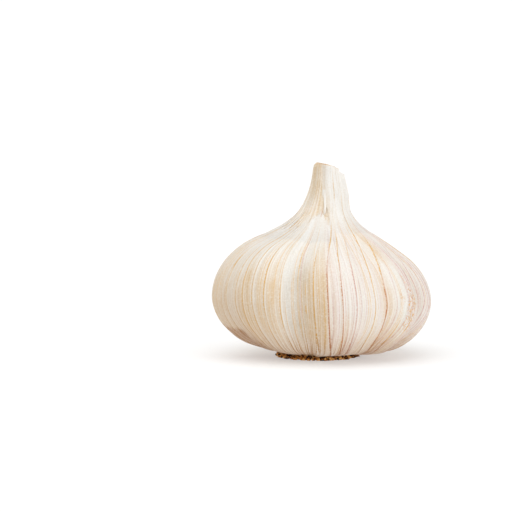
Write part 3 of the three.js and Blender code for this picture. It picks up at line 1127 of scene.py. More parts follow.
        # Faint veins with a painted highlight along one side, broken up along their length
        slow = r.span(r.noise(r.stretched(along, (24.0, 24.0, 7.0)), 1.0, 2.0, 0.5), 0.3, 0.6, 0.6, 1.05)
        broken = r.sum("MULTIPLY", slow, r.span(speckle, 0.35, 0.6, 0.6, 1.15))
        dotted = r.span(r.noise(place, 1300.0, 1.0, 0.5), 0.46, 0.54, 0.1, 2.0)
        broken = r.blend(dots, broken, dotted)
        thin = r.sum("MULTIPLY", self.line(r, fine_off, fine_squared, 0.17, 0.09), broken)
        # A painted highlight beside each faint vein
        beside = self.line(r, r.sum("SUBTRACT", fine_off, 0.2), fine_squared, 0.16, 0.09)
        beside = r.sum("MULTIPLY", beside, r.sum("ADD", fine_amber, fine_plum))
        base = r.mix(r.sum("MULTIPLY", beside, 0.6, True), base, colour(self.white))
        # Veins turn browner towards the roots, partly from dirt and partly from painted shade
        low = r.span(dust_and_shade, 0.1, 0.7, 0.0, 0.75)
        for share, tone in ((fine_amber, self.amber), (fine_plum, self.plum)):
            tone = r.mix(low, colour(tone), colour(self.bark_and_shade))
            base = r.mix(r.sum("MULTIPLY", share, thin, True), base, tone)
        # Strong veins with a painted highlight along one side, browner towards the roots from dirt and
        # painted shade
        ragged = r.sum("ADD", off, r.span(speckle, 0.3, 0.7, -0.06, 0.06))
        line = self.line(r, ragged, off_squared, width, 0.3)
        # A painted highlight beside each strong vein, as on the lit side of a ridge
        light = self.line(r, r.sum("SUBTRACT", off, 0.42), off_squared, 0.3, 0.8)
        strongest = r.sum("MAXIMUM", amber, r.sum("MAXIMUM", russet, plum))
        base = r.mix(r.sum("MULTIPLY", r.sum("MULTIPLY", light, strongest), 0.35), base, colour(self.white))
        line_broken = r.sum("MULTIPLY", line, r.sum("ADD", broken, low))
        for share, tone in ((amber, self.amber), (plum, self.plum), (russet, self.russet)):
            tone = r.mix(low, colour(tone), colour(self.bark_and_shade))
            base = r.mix(r.sum("MULTIPLY", share, line_broken, True), base, tone)
        # Cracks of the scar
        cells = {"Vector": place, "Scale": 760.0}
        cracks = r.node("ShaderNodeTexVoronoi", cells, "Distance", feature="DISTANCE_TO_EDGE")
        cracks = r.sum("MULTIPLY", r.span(cracks, 0.16, 0.03), r.span(speckle, 0.4, 0.6, 0.1, 1.0))
        base = r.mix(r.sum("MULTIPLY", r.sum("MULTIPLY", scar, cracks), 0.75), base, colour(self.scar))

        # Small relief, from crinkles to grain
        across = r.noise(r.stretched(along, (34.0, 34.0, 60.0)), 1.0, 3.0, 0.6)
        normal = r.bump(r.sum("MULTIPLY", across, crinkle), 0.0007, None, 0.5)
        normal = r.bump(r.sum("MULTIPLY", line, strongest), 0.00006, normal)
        normal = r.bump(thread, 0.00026, normal, 0.5)
        normal = r.bump(grain, 0.0001, normal, 0.45)
        normal = r.bump(r.sum("MULTIPLY", scar, cracks), 0.0002, normal, 0.6)
        r.feed(r.shader.inputs["Normal"], normal)
        r.feed(r.shader.inputs["Base Color"], base)
        rough = r.span(grain, 0.25, 0.75, self.roughness - 0.08, self.roughness + 0.14)
        r.feed(r.shader.inputs["Roughness"], rough)
        r.shader.inputs["Subsurface Weight"].default_value = 0.12
        r.shader.inputs["Subsurface Radius"].default_value = (1.0, 0.8, 0.6)
        r.shader.inputs["Subsurface Scale"].default_value = 0.002
        r.shader.inputs["Specular IOR Level"].default_value = 0.4
        return r.material


@dataclass(frozen=True)
class CutSkinFinish:
    """The dry cut edges of the skins at the top of the neck."""

    name: str
    pale: tuple[int, int, int] = (226, 204, 170)
    brown: tuple[int, int, int] = (170, 118, 66)

    def make(self) -> bpy.types.Material:
        """Builds the material: pale straw with brown rims and streaks.

        Returns:
            The material.
        """
        r = Recipe(self.name)
        place = r.place()
        streak = r.noise(r.stretched(place, (900.0, 900.0, 160.0)), 1.0, 4.0, 0.65)
        rim = r.attribute("rim", "Fac")
        share = r.sum("ADD", r.span(streak, 0.4, 0.75, 0.0, 0.5), r.sum("MULTIPLY", rim, 0.7), True)
        r.feed(r.shader.inputs["Base Color"], r.mix(share, colour(self.pale), colour(self.brown)))
        r.feed(r.shader.inputs["Normal"], r.bump(streak, 0.0002, strength=0.8))
        r.shader.inputs["Roughness"].default_value = 0.72
        return r.material


@dataclass(frozen=True)
class RootFinish:
    """Dry root ends, from nearly black through golden brown to straw, each end its own shade."""

    name: str
    dark: tuple[int, int, int] = (46, 17, 1)
    gold: tuple[int, int, int] = (206, 126, 38)
    straw: tuple[int, int, int] = (244, 196, 120)

    def make(self) -> bpy.types.Material:
        """Builds the material: a shade for each root end, mottled, and darker where each stub roots under
        the bulb, which is painted shade.

        Returns:
            The material.
        """
        r = Recipe(self.name)
        place = r.place()
        shade = r.attribute("shade", "Fac")
        mottle = r.noise(place, 1500.0, 4.0, 0.65)
        tone = r.sum("ADD", shade, r.span(mottle, 0.3, 0.7, -0.35, 0.35), True)
        base = r.mix(r.span(tone, 0.28, 0.56), colour(self.dark), colour(self.gold))
        base = r.mix(r.span(tone, 0.62, 0.85), base, colour(self.straw))
        r.feed(r.shader.inputs["Base Color"], base)
        r.feed(r.shader.inputs["Normal"], r.bump(mottle, 0.0004, strength=0.9))
        r.feed(r.shader.inputs["Roughness"], r.span(mottle, 0.2, 0.8, 0.62, 0.9))
        return r.material


@dataclass(frozen=True)
class DishFinish:
    """The corky root plate: tan, with short radiating fibre marks."""

    name: str
    tan: tuple[int, int, int] = (224, 188, 138)
    pale: tuple[int, int, int] = (240, 215, 176)
    brown: tuple[int, int, int] = (190, 140, 84)

    def make(self) -> bpy.types.Material:
        """Builds the material: pale and brown fibre marks on tan, browner towards the rim.

        Returns:
            The material.
        """
        r = Recipe(self.name)
        ray = r.attribute("ray", "Vector")
        marks = r.noise(r.stretched(ray, (16.0, 16.0, 9.0)), 1.0, 3.0, 0.6)
        mottle = r.noise(r.place(), 420.0, 4.0, 0.6)
        rim = r.node("ShaderNodeSeparateXYZ", {0: ray}, 2)
        base = r.mix(r.span(marks, 0.35, 0.7), colour(self.pale), colour(self.tan))
        base = r.mix(r.span(marks, 0.56, 0.75, 0.0, 0.7), base, colour(self.brown))
        base = r.mix(r.span(mottle, 0.45, 0.75, 0.0, 0.45), base, colour(self.brown))
        base = r.mix(r.span(rim, 0.7, 1.0, 0.0, 0.55), base, colour(self.brown))
        r.feed(r.shader.inputs["Base Color"], base)
        normal = r.bump(marks, 0.0006, strength=0.8)
        r.feed(r.shader.inputs["Normal"], r.bump(mottle, 0.0003, normal, 0.6))
        r.shader.inputs["Roughness"].default_value = 0.85
        return r.material


@dataclass(frozen=True)
class FloorFinish:
    """The studio's plain pale floor."""

    name: str
    white: tuple[int, int, int] = (198, 198, 198)
    grey: tuple[int, int, int] = (196, 196, 196)
    glow: float = 0.42

    def make(self) -> bpy.types.Material:
        """Builds the material: a lit white table, with the faintest mottle.

        Returns:
            The material.
        """
        r = Recipe(self.name)
        mottle = r.noise(r.place(), 3.0, 2.0, 0.5)
        base = r.mix(r.span(mottle, 0.3, 0.7, 0.0, 0.15), colour(self.white), colour(self.grey))
        r.feed(r.shader.inputs["Base Color"], base)
        r.shader.inputs["Roughness"].default_value = 0.9
        r.shader.inputs["Specular IOR Level"].default_value = 0.1
        r.shader.inputs["Emission Color"].default_value = (1.0, 1.0, 1.0, 1.0)
        r.shader.inputs["Emission Strength"].default_value = self.glow
        return r.material


# Layers of skin


def belongs(piece: bpy.types.Object, node: str, finish: bpy.types.Material) -> bpy.types.Object:
    """Gives a piece its finish, hangs it on the root body, and hides the solid that it stands for.

    Args:
        piece: The piece.
        node: The solid's node.
        finish: The material.

    Returns:
        The piece.
    """
    piece.data.materials.append(finish)
    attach(piece, "root")
    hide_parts(node)
    log.info("%s: %d points, %d faces", piece.name, len(piece.data.vertices), len(piece.data.polygons))
    return piece


def thin_skin(
    tints: SkinTints,
    name: str,
    bearing: Array,
    place: Array,
    push: Array,
    thickness: float,
    neck_share: Array | float,
    finish: bpy.types.Material,
    raised: Array | float = 0.0,
) -> bpy.types.Object:
    """Builds a thin closed sheet of skin, with its tints and its finish.

    Args:
        tints: The skin's tints, and the form that they lie on.
        name: The piece's name.
        bearing: Bearings of the sheet's points.
        place: Their places.
        push: Millimetres that the sheet's outer side stands off the form.
        thickness: The sheet's thickness in millimetres.
        neck_share: Share of the neck's tan, painted shade on its left, that the sheet shows.
        finish: The papery finish.
        raised: Metres that the points are lifted.

    Returns:
        The piece.
    """
    outer = tints.form.points(bearing, place, push, LAYER_PLEATS)
    inner = tints.form.points(bearing, place, push - thickness, LAYER_PLEATS)
    points = np.stack([outer, inner])
    points[..., 2] += raised
    piece = make_piece(name, points, shell_faces(*outer.shape[:2]))
    tints.dress(piece, bearing, place, 2, neck_share=neck_share)
    return belongs(piece, "bulb", finish)


@dataclass
class InnerSkin:
    """The wrapped bulb itself: the recess for the root plate, the skin over the cloves, and the neck."""

    form: BulbForm
    tints: SkinTints
    columns: int = 1080
    body_rows: int = 64
    neck_rows: int = 20
    neck_foot: float = 0.72
    plate_middle: float = PLATE_MIDDLE
    recess_radius: float = 10.25
    recess_top: float = 3.35
    recess_foot: float = 1.85
    wall: float = 0.9
    hollow: float = 1.3

    def build(self, finish: bpy.types.Material) -> bpy.types.Object:
        """Builds the skin as rings from the recess, over the body, to the cut neck.

        Args:
            finish: The papery finish.

        Returns:
            The piece.
        """
        body = np.linspace(0.0, self.neck_foot, self.body_rows, endpoint=False)
        place = np.concatenate([body, np.linspace(self.neck_foot, 1.0, self.neck_rows)])[:, None]
        fibre = np.linspace(-180.0, 180.0, self.columns, endpoint=False)
        grid = self.tints.along_fibres(fibre, place)
        from_left = smooth(-np.sin(np.radians(grid)), 0.2, 0.95)
        rim = smooth(place, 0.972, 1.0) ** 2 * lerp(0.1, 0.75, from_left)
        skin = self.form.points(grid, place, self.tints.relief(grid, place) - rim, LAYER_PLEATS)
        crown = self.tints.crown(grid) * MM
        skin[..., 2] += crown * smooth(place, CROWN_FOOT, 1.0)
        dip = 0.5 * bump(turn_from(grid), 1.0, 9.0)
        dip = dip + 0.14 * Ripple(62, 9, 40, 12, 0.0).at(grid, 0.0)
        skin[..., 2] -= dip * (1.0 - smooth(place, 0.0, 0.05)) * MM

        # The recess, from its roof down to its lip
        bearing = grid[:1]
        ragged = 0.12 * Ripple(61, 12, 50, 12, 0.0).at(bearing, 0.0)
        lip = self.recess_radius + ragged * np.array([[0.0], [0.0], [0.4]])
        heights = np.array([[self.recess_top], [self.recess_top], [self.recess_foot]])
        inset = np.array([[0.5], [1.0], [1.0]])
        recess = ring_points(self.plate_middle, lip * inset, np.radians(bearing), heights)

        # The cut rim's thickness and the hollow within it
        bearing, rim, crown = grid[-1:], rim[-1:], crown[-1:]
        top = place[-1:]
        inner = [
            self.form.points(bearing, top, -0.25 * self.wall - rim, LAYER_PLEATS) + (0, 0, 0.04 * MM),
            self.form.points(bearing, top, -self.wall - 0.5 * rim, LAYER_PLEATS) - (0, 0, 0.2 * MM),
            self.form.points(bearing, top, -1.5 * self.wall, 0.4) - (0, 0, self.hollow * MM),
            self.form.points(bearing, top, -2.4 * self.wall, 0.2) - (0, 0, self.hollow * MM),
        ]
        for ring in inner:
            ring[..., 2] += crown
        rings = np.concatenate([recess, skin, *inner])
        middle, _, height = self.form.round_at(np.zeros(1), np.ones(1))
        poles = np.array([
            (self.plate_middle, 0.0, self.recess_top),
            (middle[0], 0.0, height[0] - self.hollow),
        ]) * MM
        points = np.concatenate([rings.reshape(-1, 3), poles])
        piece = make_piece("garlic_skin", points, capped_faces(len(rings), self.columns))

        all_places = np.concatenate([np.zeros((3, 1)), place, np.ones((4, 1))])
        front = turn_from(bearing, -20.0)
        bearing = np.concatenate([np.repeat(grid[:1], 3, 0), grid, np.repeat(grid[-1:], 4, 0)])
        soiled = np.zeros(bearing.shape)
        soiled[-4:] = 0.6
        soiled[-6:-3] = np.array([[0.2], [0.9], [0.9]]) * (0.25 + 0.75 * bump(front, 0.0, 45.0))
        ends = np.array([(0.0, 0.0), (0.0, 1.0)])
        self.tints.dress(piece, bearing, all_places, 1, ends, soiled=soiled)
        return belongs(piece, "bulb", finish)


@dataclass
class NeckSheath:
    """The outermost skin where it wraps the right side of the neck, with its torn edge down the front."""

    form: BulbForm
    tints: SkinTints
    name: str = "neck_sheath"
    rows: int = 100
    columns: int = 280
    stands_off: float = 1.15
    turned: float = 0.0
    lowered: float = 0.0
    thickness: float = 0.1
    right_edge: float = 197.0
    foot: float = 0.64
    edge_heights: tuple[float, ...] = (
        35.0, 36.2, 37.5, 39.0, 40.5, 42.0, 43.0, 44.3, 45.5, 48.0, 53.0,
    )
    edge_bearings: tuple[float, ...] = (
        15.5, 14.5, 13.5, 12.0, 9.2, 5.0, 0.0, -7.0, -13.0, -18.0, -20.0,
    )
    top_bearings: tuple[float, ...] = (-20.0, 20.0, 40.0, 55.0, 70.0, 90.0, 112.0, 140.0, 170.0, 197.0)
    top_heights: tuple[float, ...] = (53.0, 52.9, 52.2, 51.3, 50.4, 49.6, 49.4, 50.2, 51.3, 52.0)

    def build(self, finish: bpy.types.Material) -> bpy.types.Object:
        """Builds the sheath as a thin sheet.

        Its left edge follows a row of bearings, flush with the neck above and standing open below; its top
        edge follows a row of heights, lowest on the right, and is frayed.

        Args:
            finish: The papery finish.

        Returns:
            The piece.
        """
        up = np.linspace(0.0, 1.0, self.rows)[:, None]
        across = np.linspace(0.0, 1.0, self.columns)[None, :] ** 1.35
        guess = lerp(35.0, 52.0, up)
        left = np.interp(guess, self.edge_heights, self.edge_bearings) + self.turned
        left = left + 0.7 * np.sin(guess * 2.3) + 0.4 * np.sin(guess * 5.1 + 1.0)
        bearing = lerp(left, self.right_edge, across)
        rim = bearing[-1:]
        fray = 0.1 * Ripple(71, 10, 46, 12, 0.0).at(rim + self.turned, 0.0) - self.lowered
        top = np.interp(rim, self.top_bearings, self.top_heights) + fray
        place = lerp(self.foot, np.minimum(self.form.place_of(top), 0.992), up)
        height = self.form.height_at(bearing, place)

        outward = lerp(0.3, 1.0, np.maximum(0.0, np.sin(np.radians(bearing))))
        from_left = smooth(bearing, left + 4.0, left + 106.0)
        ends = from_left * (1.0 - smooth(bearing, 182.0, 197.0))
        lap = self.stands_off * outward * ends * smooth(height, 38.0, 45.5)
        open_edge = within(height, 35.5, 37.5, 41.5, 44.5)
        curl = 0.05 * np.exp(-(bearing - left) / 8.0) * open_edge
        free = np.maximum(open_edge, smooth(bearing, left, left + 60.0))
        lifted = smooth(up, 0.0, 0.1) * lerp(0.6, 1.0, free)
        push = self.tints.relief(bearing, place) + lerp(-0.12, 0.13, lifted) + lap + curl
        raised = self.tints.crown(bearing) * smooth(place, CROWN_FOOT, 1.0) * MM
        # The neck's painted shade reaches onto the sheath by its left edge
        tan = 0.65 * (1.0 - smooth(bearing, left, left + 34.0))
        return thin_skin(
            self.tints, self.name, bearing, place, push, self.thickness, tan, finish, raised
        )


@dataclass
class TornSkin:
    """The outermost skin round the left of the neck's foot, torn off in a low point at the front."""

    form: BulbForm
    tints: SkinTints
    rows: int = 60
    columns: int = 560
    thickness: float = 0.08
    foot: float = 0.6
    left_end: float = -166.0
    right_end: float = 15.0
    edge_bearings: tuple[float, ...] = (
        -166.0, -120.0, -80.0, -50.0, -38.0, -28.0, -17.0, -7.0, 3.0, 9.0, 15.0,
    )
    edge_heights: tuple[float, ...] = (
        37.4, 36.6, 35.8, 35.8, 36.0, 36.8, 38.6, 40.1, 38.2, 36.6, 35.4,
    )

    def build(self, finish: bpy.types.Material) -> bpy.types.Object:
        """Builds the torn skin, a thin sheet that leaves the body and ends in long teeth along its fibres.

        Args:
            finish: The papery finish.

        Returns:
            The piece.
        """
        up = np.linspace(0.0, 1.0, self.rows)[:, None]
        bearing = np.linspace(self.left_end, self.right_end, self.columns)[None, :]
        calm = 1.0 - 0.85 * bump(bearing, -2.0, 12.0)
        jagged = 0.6 * Ripple(81, 12, 40, 14, 0.0).at(bearing, 0.0)
        teeth = np.maximum(Ripple(83, 40, 84, 14, 0.0).at(bearing, 0.0), 0.0)
        jagged = jagged + 3.0 * teeth
        edge = np.interp(bearing, self.edge_bearings, self.edge_heights) + jagged * calm
        place = lerp(self.foot, self.form.place_of(edge), up)
        stands = 0.1 + 0.1 * bump(bearing, -3.0, 11.0)
        push = lerp(-0.12, 0.0, smooth(up, 0.0, 0.12)) + stands * smooth(up, 0.05, 0.9)
        push = push + self.tints.relief(bearing, place)
        return thin_skin(self.tints, "torn_skin", bearing, place, push, self.thickness, 0.1, finish)


@dataclass
class NeckTongue:
    """A small tongue of torn skin that hangs beside the sheath's edge and curls away from the neck."""

    form: BulbForm
    tints: SkinTints
    rows: int = 36
    columns: int = 14
    thickness: float = 0.1
    heights: tuple[float, ...] = (39.2, 40.0, 41.5, 43.0, 44.5, 46.0)
    middles: tuple[float, ...] = (1.0, 0.8, 0.0, -1.6, -4.5, -8.0)
    widths: tuple[float, ...] = (0.4, 3.6, 5.6, 6.8, 7.6, 8.0)

    def build(self, finish: bpy.types.Material) -> bpy.types.Object:
        """Builds the tongue as a thin sheet, rooted under the sheath and narrowing downwards.

        Args:
            finish: The papery finish.

        Returns:
            The piece.
        """
        height = np.linspace(self.heights[0], self.heights[-1], self.rows)[:, None]
        across = np.linspace(-0.5, 0.5, self.columns)[None, :]
        middle = np.interp(height, self.heights, self.middles)
        bearing = middle + across * np.interp(height, self.heights, self.widths)
        place = self.form.place_of(height) + 0.0 * bearing
        hangs = 1.0 - smooth(height, 40.0, 45.5)
        push = 0.12 + 0.34 * hangs - 0.5 * across**2 * hangs
        return thin_skin(self.tints, "neck_tongue", bearing, place, push, self.thickness, 0.05, finish)


@dataclass
class NeckLayers:
    """The cut ends of the skins inside the neck, one within the other round a dry stem."""

    form: BulbForm
    shares: tuple[float, ...] = (0.66, 0.44, 0.2)
    columns: int = 160
    thickness: float = 0.22

    def build(self, finish: bpy.types.Material) -> bpy.types.Object:
        """Builds each layer as a closed ring whose section is a thin upright strip with a round top.

        Args:
            finish: The finish of cut skin.

        Returns:
            The piece.
        """
        bearing = np.linspace(0.0, 360.0, self.columns, endpoint=False)[None, :]
        a = np.radians(bearing)
        middle, radius, height = self.form.round_at(bearing, np.ones((1, 1)))
        out = np.array([1.0, 1.0, 0.7, 0.0, -0.7, -1.0, -1.0, 0.0])[:, None] * self.thickness / 2.0
        rise = np.array([0.0, 0.85, 0.97, 1.0, 0.97, 0.85, 0.0, -0.05])[:, None]
        rim = np.array([0.0, 0.6, 1.0, 1.0, 1.0, 0.6, 0.0, 0.0])[:, None]
        points, faces, rims = [], [], []
        for k, share in enumerate(self.shares):
            wave = Ripple(90 + k, 2, 9, 8, 0.0).at(bearing, 0.0)
            fray = Ripple(95 + k, 12, 44, 10, 0.0).at(bearing, 0.0)
            r = radius * share + 0.16 * wave + out
            top = height - 0.3 - 0.1 * k + 0.1 * fray
            ring = ring_points(middle, r, a, lerp(height - 1.5, top, rise))
            first = k * ring.shape[0] * self.columns
            strips = round_faces(ring.shape[0], self.columns, first)
            last = first + (ring.shape[0] - 1) * self.columns
            c = np.arange(self.columns)
            n = (c + 1) % self.columns
            points.append(ring.reshape(-1, 3))
            faces += [strips, np.stack([last + c, last + n, first + n, first + c], -1)]
            rims.append(np.broadcast_to(rim, ring.shape[:2]).ravel())
        piece = make_piece("neck_layers", np.concatenate(points), faces)
        paint_share(piece, "rim", np.concatenate(rims))
        return belongs(piece, "bulb", finish)


# The root plate


@dataclass
class RootDish:
    """The basal plate: a shallow corky dish, wider than it is deep."""

    middle: float = PLATE_MIDDLE
    radius: float = 9.9
    dish_radius: float = 8.6
    rim: float = 0.75
    depth: float = 0.65
    top: float = 3.0
    rings: int = 56
    columns: int = 220

    def build(self, finish: bpy.types.Material) -> bpy.types.Object:
        """Builds the dish from its middle outwards, then its side and its hidden top.

        Args:
            finish: The dish's finish.

        Returns:
            The piece.
        """
        a = np.linspace(0.0, 2.0 * math.pi, self.columns, endpoint=False)[None, :]
        share = np.linspace(0.03, 1.0, self.rings)[:, None]
        wide = self.dish_radius * share
        fibre = np.sin(9.0 * share * 6.0 + 14.0 * np.sin(7.0 * a) + 40.0 * a)
        fibre = fibre * np.sin(29.0 * a + 11.0 * share)
        knobs = np.sin(23.0 * a + 3.0 * np.sin(5.0 * a)) * smooth(share, 0.75, 1.0)
        under = self.rim + self.depth * (1.0 - share**2) + 0.05 * fibre + 0.08 * knobs
        side_radius = np.array([[self.radius - 0.3], [self.radius], [self.radius], [self.radius * 0.5]])
        side_height = np.array([[self.rim + 0.1], [self.rim + 0.3], [self.top], [self.top]])
        side = (len(side_radius), self.columns)
        r = np.concatenate([np.broadcast_to(wide, under.shape), np.broadcast_to(side_radius, side)])
        z = np.concatenate([under, np.broadcast_to(side_height, side)])
        rings = ring_points(self.middle, r, a, z)
        poles = np.array([
            (self.middle, 0.0, self.rim + self.depth),
            (self.middle, 0.0, self.top),
        ]) * MM
        points = np.concatenate([rings.reshape(-1, 3), poles])
        piece = make_piece("root_dish", points, capped_faces(len(rings), self.columns))
        out = np.minimum(r / self.dish_radius, 1.2)
        ray = np.stack(np.broadcast_arrays(np.sin(a), -np.cos(a), out), -1)
        paint(piece, "ray", np.concatenate([ray.reshape(-1, 3), np.zeros((2, 3))]))
        return belongs(piece, "root_plate", finish)


@dataclass(frozen=True)
class StubRow:
    """A row of root stubs round the plate: how many, where they root, where they end, and how thick."""

    count: int
    root: float
    tip: float
    size: float


@dataclass
class RootEnds:
    """The ring of trimmed root stubs, with the broken bits of root that cling between them."""

    middle: float = PLATE_MIDDLE
    rows: tuple[StubRow, ...] = (
        StubRow(40, 8.9, 9.1, 0.5),
        StubRow(46, 9.3, 10.1, 0.52),
        StubRow(54, 9.5, 11.2, 0.5),
    )
    sides: int = 8
    steps: int = 6
    bits: int = 520
    seed: int = 7

    def stubs(self, draw: np.random.Generator) -> tuple[Array, Array, Array]:
        """Points, faces and shades of the stubs.

        Each stub is a bent, knobbly tube from its root in the plate to its tip, and everything that would
        reach under the surface the bulb stands on is cut flush with it.

        Args:
            draw: Seeded draws.

        Returns:
            Points in millimetres, faces of four, and a shade for each point.
        """
        counts = [row.count for row in self.rows]
        count = sum(counts)
        slot = np.concatenate([np.arange(n) / n for n in counts])
        rows = [(1.0 / row.count, row.root, row.tip, row.size) for row in self.rows]
        spread, root, tip, size = np.repeat(np.array(rows), counts, 0).T
        a = 2.0 * math.pi * (slot + spread * draw.uniform(-0.35, 0.35, count))
        tip = tip + draw.uniform(-0.4, 0.35, count)
        low = -draw.uniform(-0.25, 0.5, count)
        size = size * draw.uniform(0.8, 1.25, count)
        bend = draw.uniform(-0.5, 0.5, count)

        t = np.array([0.0, 0.35, 0.7, 0.93, 1.0, 1.0])[None, :, None]
        fat = np.array([1.0, 1.0, 1.02, 1.0, 0.82, 0.35])[None, :, None]
        # Painted shade where a stub roots under the bulb, lighter towards its tip, dark on its cut end
        darker = np.array([0.6, 0.3, 0.0, -0.2, -0.3, 0.8])[None, :, None]
        s = (2.0 * math.pi * np.arange(self.sides) / self.sides)[None, None, :]
        lump = 1.0 + 0.22 * draw.uniform(-1.0, 1.0, (count, self.steps, self.sides))
        along = lerp(root[:, None, None], tip[:, None, None], t)
        height = lerp(1.0, low[:, None, None], t)
        swing = a[:, None, None] + bend[:, None, None] * t**2 / 10.0
        wide = size[:, None, None] * fat * lump
        slope = np.arctan2(1.0 - low, tip - root)[:, None, None]
        out = along + wide * np.cos(s) * np.sin(slope)
        side = wide * np.sin(s)
        z = height + wide * np.cos(s) * np.cos(slope)
        x = out * np.sin(swing) + side * np.cos(swing)
        y = -out * np.cos(swing) + side * np.sin(swing)
        points = np.stack([x, y * FRONT_TO_BACK, np.maximum(z, 0.0)], -1)
        # Each stub's own tone, less the painted shade along it
        shade = draw.uniform(0.15, 0.85, count)[:, None, None] - 0.25 * darker
        shade = np.broadcast_to(shade, points.shape[:3])
        each = self.steps * self.sides
        tube = round_faces(self.steps, self.sides)[:, ::-1]
        faces = (np.arange(count)[:, None, None] * each + tube[None]).reshape(-1, 4)
        return points.reshape(-1, 3), faces, shade.reshape(-1)

    def crumbs(self, draw: np.random.Generator) -> tuple[Array, Array, Array]:
        """Points, faces and shades of the broken bits.

        Each is an uneven lump of twenty faces on the corners of a stretched icosahedron, turned at random.

        Args:
            draw: Seeded draws.

        Returns:
            Points in millimetres, faces of three, and a shade for each point.
        """
        g = (1.0 + math.sqrt(5.0)) / 2.0
        corners = np.array([
            (-1, g, 0), (1, g, 0), (-1, -g, 0), (1, -g, 0), (0, -1, g), (0, 1, g),
            (0, -1, -g), (0, 1, -g), (g, 0, -1), (g, 0, 1), (-g, 0, -1), (-g, 0, 1),
        ]) / math.hypot(1.0, g)
        sides = np.array([
            (0, 11, 5), (0, 5, 1), (0, 1, 7), (0, 7, 10), (0, 10, 11), (1, 5, 9), (5, 11, 4),
            (11, 10, 2), (10, 7, 6), (7, 1, 8), (3, 9, 4), (3, 4, 2), (3, 2, 6), (3, 6, 8),
            (3, 8, 9), (4, 9, 5), (2, 4, 11), (6, 2, 10), (8, 6, 7), (9, 8, 1),
        ])
        n, each = self.bits, len(corners)
        turn, _ = np.linalg.qr(draw.normal(size=(n, 3, 3)))
        turn *= np.sign(np.linalg.det(turn))[:, None, None]
        stretch = draw.uniform(0.6, 1.3, (n, 1, 3))
        size = draw.uniform(0.2, 0.46, (n, 1, 1))
        lump = draw.uniform(0.72, 1.2, (n, each, 1))
        local = np.einsum("nij,nkj->nki", turn, corners[None] * lump * stretch * size)
        a = draw.uniform(0.0, 2.0 * math.pi, n)
        r = draw.triangular(8.7, 10.4, 11.3, n)
        z = draw.uniform(0.15, 1.0, n) - 0.35 * smooth(r, 10.2, 11.3)
        spot = np.stack([r * np.sin(a), -r * FRONT_TO_BACK * np.cos(a), z], -1)
        points = local + spot[:, None, :]
        points[..., 2] = np.maximum(points[..., 2], 0.0)
        faces = (np.arange(n)[:, None, None] * each + sides[None]).reshape(-1, 3)
        shade = np.broadcast_to(draw.uniform(0.0, 0.95, (n, 1)), (n, each))
        return points.reshape(-1, 3), faces, shade.reshape(-1)

    def build(self, finish: bpy.types.Material) -> bpy.types.Object:
        """Builds stubs and bits as one piece.

        Args:
            finish: The root ends' finish.

        Returns:
            The piece.
        """
        draw = np.random.default_rng(self.seed)
        stub_points, stub_faces, stub_shades = self.stubs(draw)
        bit_points, bit_faces, bit_shades = self.crumbs(draw)
        points = np.concatenate([stub_points, bit_points]) + (self.middle, 0.0, 0.0)
        piece = make_piece("root_ends", points * MM, [stub_faces, bit_faces + len(stub_points)])
        paint_share(piece, "shade", np.concatenate([stub_shades, bit_shades]))
        return belongs(piece, "root_plate", finish)


# The studio


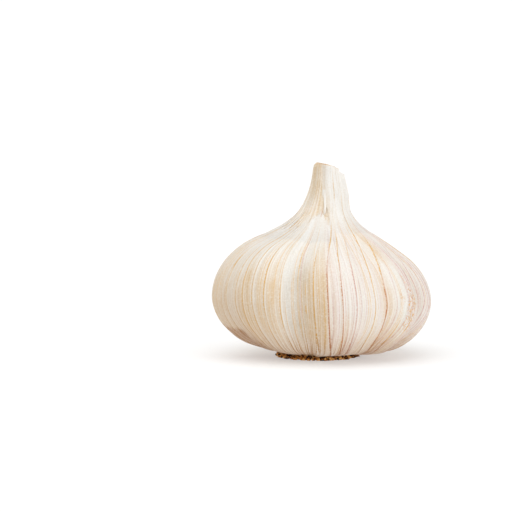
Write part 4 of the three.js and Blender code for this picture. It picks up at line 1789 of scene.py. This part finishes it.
@dataclass
class Studio:
    """A pale floor, soft lights, and a camera at the height and distance of the picture."""

    distance: float = 0.9
    elevation: float = 6.0
    metres_across: float = 0.13988
    film_width: float = 36.0
    floor_reach: float = 9.0
    floor_points: int = 13
    aim: tuple[float, float, float] = (-0.0179, 0.0, 0.02738)

    def floor(self, finish: bpy.types.Material) -> None:
        """Lays a wide floor under the bulb, a flat grid of squares.

        Args:
            finish: The floor's finish.
        """
        edge = np.linspace(-self.floor_reach, self.floor_reach, self.floor_points)
        x, y = np.meshgrid(edge, edge)
        points = np.stack([x, y, np.zeros_like(x)], -1)
        squares = round_faces(self.floor_points, self.floor_points, closed=False)
        piece = make_piece("studio_floor", points, [squares])
        piece.data.materials.append(finish)

    def lamp(
        self,
        name: str,
        spot: tuple[float, float, float],
        spread: float,
        power: float,
        tone: tuple[float, float, float],
    ) -> None:
        """Hangs a soft light that shines on the bulb and on the whole floor alike.

        Args:
            name: The light's name.
            spot: A point that it shines from, towards the bulb.
            spread: How wide it looks from the bulb, in degrees.
            power: Its power in watts a square metre.
            tone: Its colour.
        """
        light = bpy.data.lights.new(name, "SUN")
        light.angle = math.radians(spread)
        light.energy = power
        light.color = tone
        holder = bpy.data.objects.new(name, light)
        bpy.context.scene.collection.objects.link(holder)
        holder.location = spot
        holder.rotation_euler = (-Vector(spot)).to_track_quat("-Z", "Y").to_euler()

    def sky(self, strength: float) -> None:
        """Surrounds the scene with even white light.

        Args:
            strength: Its strength.
        """
        world = bpy.data.worlds.new("studio_air")
        world.use_nodes = True
        background = world.node_tree.nodes["Background"]
        background.inputs["Color"].default_value = (1.0, 1.0, 1.0, 1.0)
        background.inputs["Strength"].default_value = strength
        bpy.context.scene.world = world

    def camera(self) -> None:
        """Sets the camera in front of the bulb, aimed a little to its left."""
        lens = bpy.data.cameras.new("camera")
        lens.sensor_width = self.film_width
        lens.lens = self.film_width * self.distance / self.metres_across
        lens.clip_start = 0.01
        lens.clip_end = 20.0
        holder = bpy.data.objects.new("camera", lens)
        bpy.context.scene.collection.objects.link(holder)
        rise = math.radians(self.elevation)
        x, y, z = self.aim
        holder.location = (0.0, y - self.distance * math.cos(rise), z + self.distance * math.sin(rise))
        holder.rotation_euler = (Vector(self.aim) - holder.location).to_track_quat("-Z", "Y").to_euler()
        bpy.context.scene.camera = holder

    def build(self, finish: bpy.types.Material) -> None:
        """Sets up floor, lights, surroundings and camera.

        Args:
            finish: The floor's finish.
        """
        self.floor(finish)
        self.lamp("key_light", (0.84, -0.53, 0.14), 55.0, 1.16, (1.0, 0.998, 0.992))
        self.lamp("top_light", (-0.2, -0.26, 0.94), 70.0, 1.7, (1.0, 1.0, 1.0))
        self.sky(0.55)
        self.camera()
        bpy.context.scene.view_settings.view_transform = "Standard"


def main() -> None:
    """Builds the garlic bulb and the studio round it."""
    logging.basicConfig(level=logging.INFO, format="%(name)s: %(message)s")
    form = BulbForm()
    tints = SkinTints(form)
    paper = PaperyFinish("papery_skin").make()
    InnerSkin(form, tints).build(paper)
    NeckSheath(form, tints).build(paper)
    NeckSheath(form, tints, "neck_lining", 70, 180, 0.62, 34.0, 0.3).build(paper)
    TornSkin(form, tints).build(paper)
    NeckTongue(form, tints).build(paper)
    NeckLayers(form).build(CutSkinFinish("cut_skin").make())
    RootDish().build(DishFinish("corky_plate").make())
    RootEnds().build(RootFinish("dry_roots").make())
    Studio().build(FloorFinish("studio_white").make())


if __name__ == "__main__":
    main()
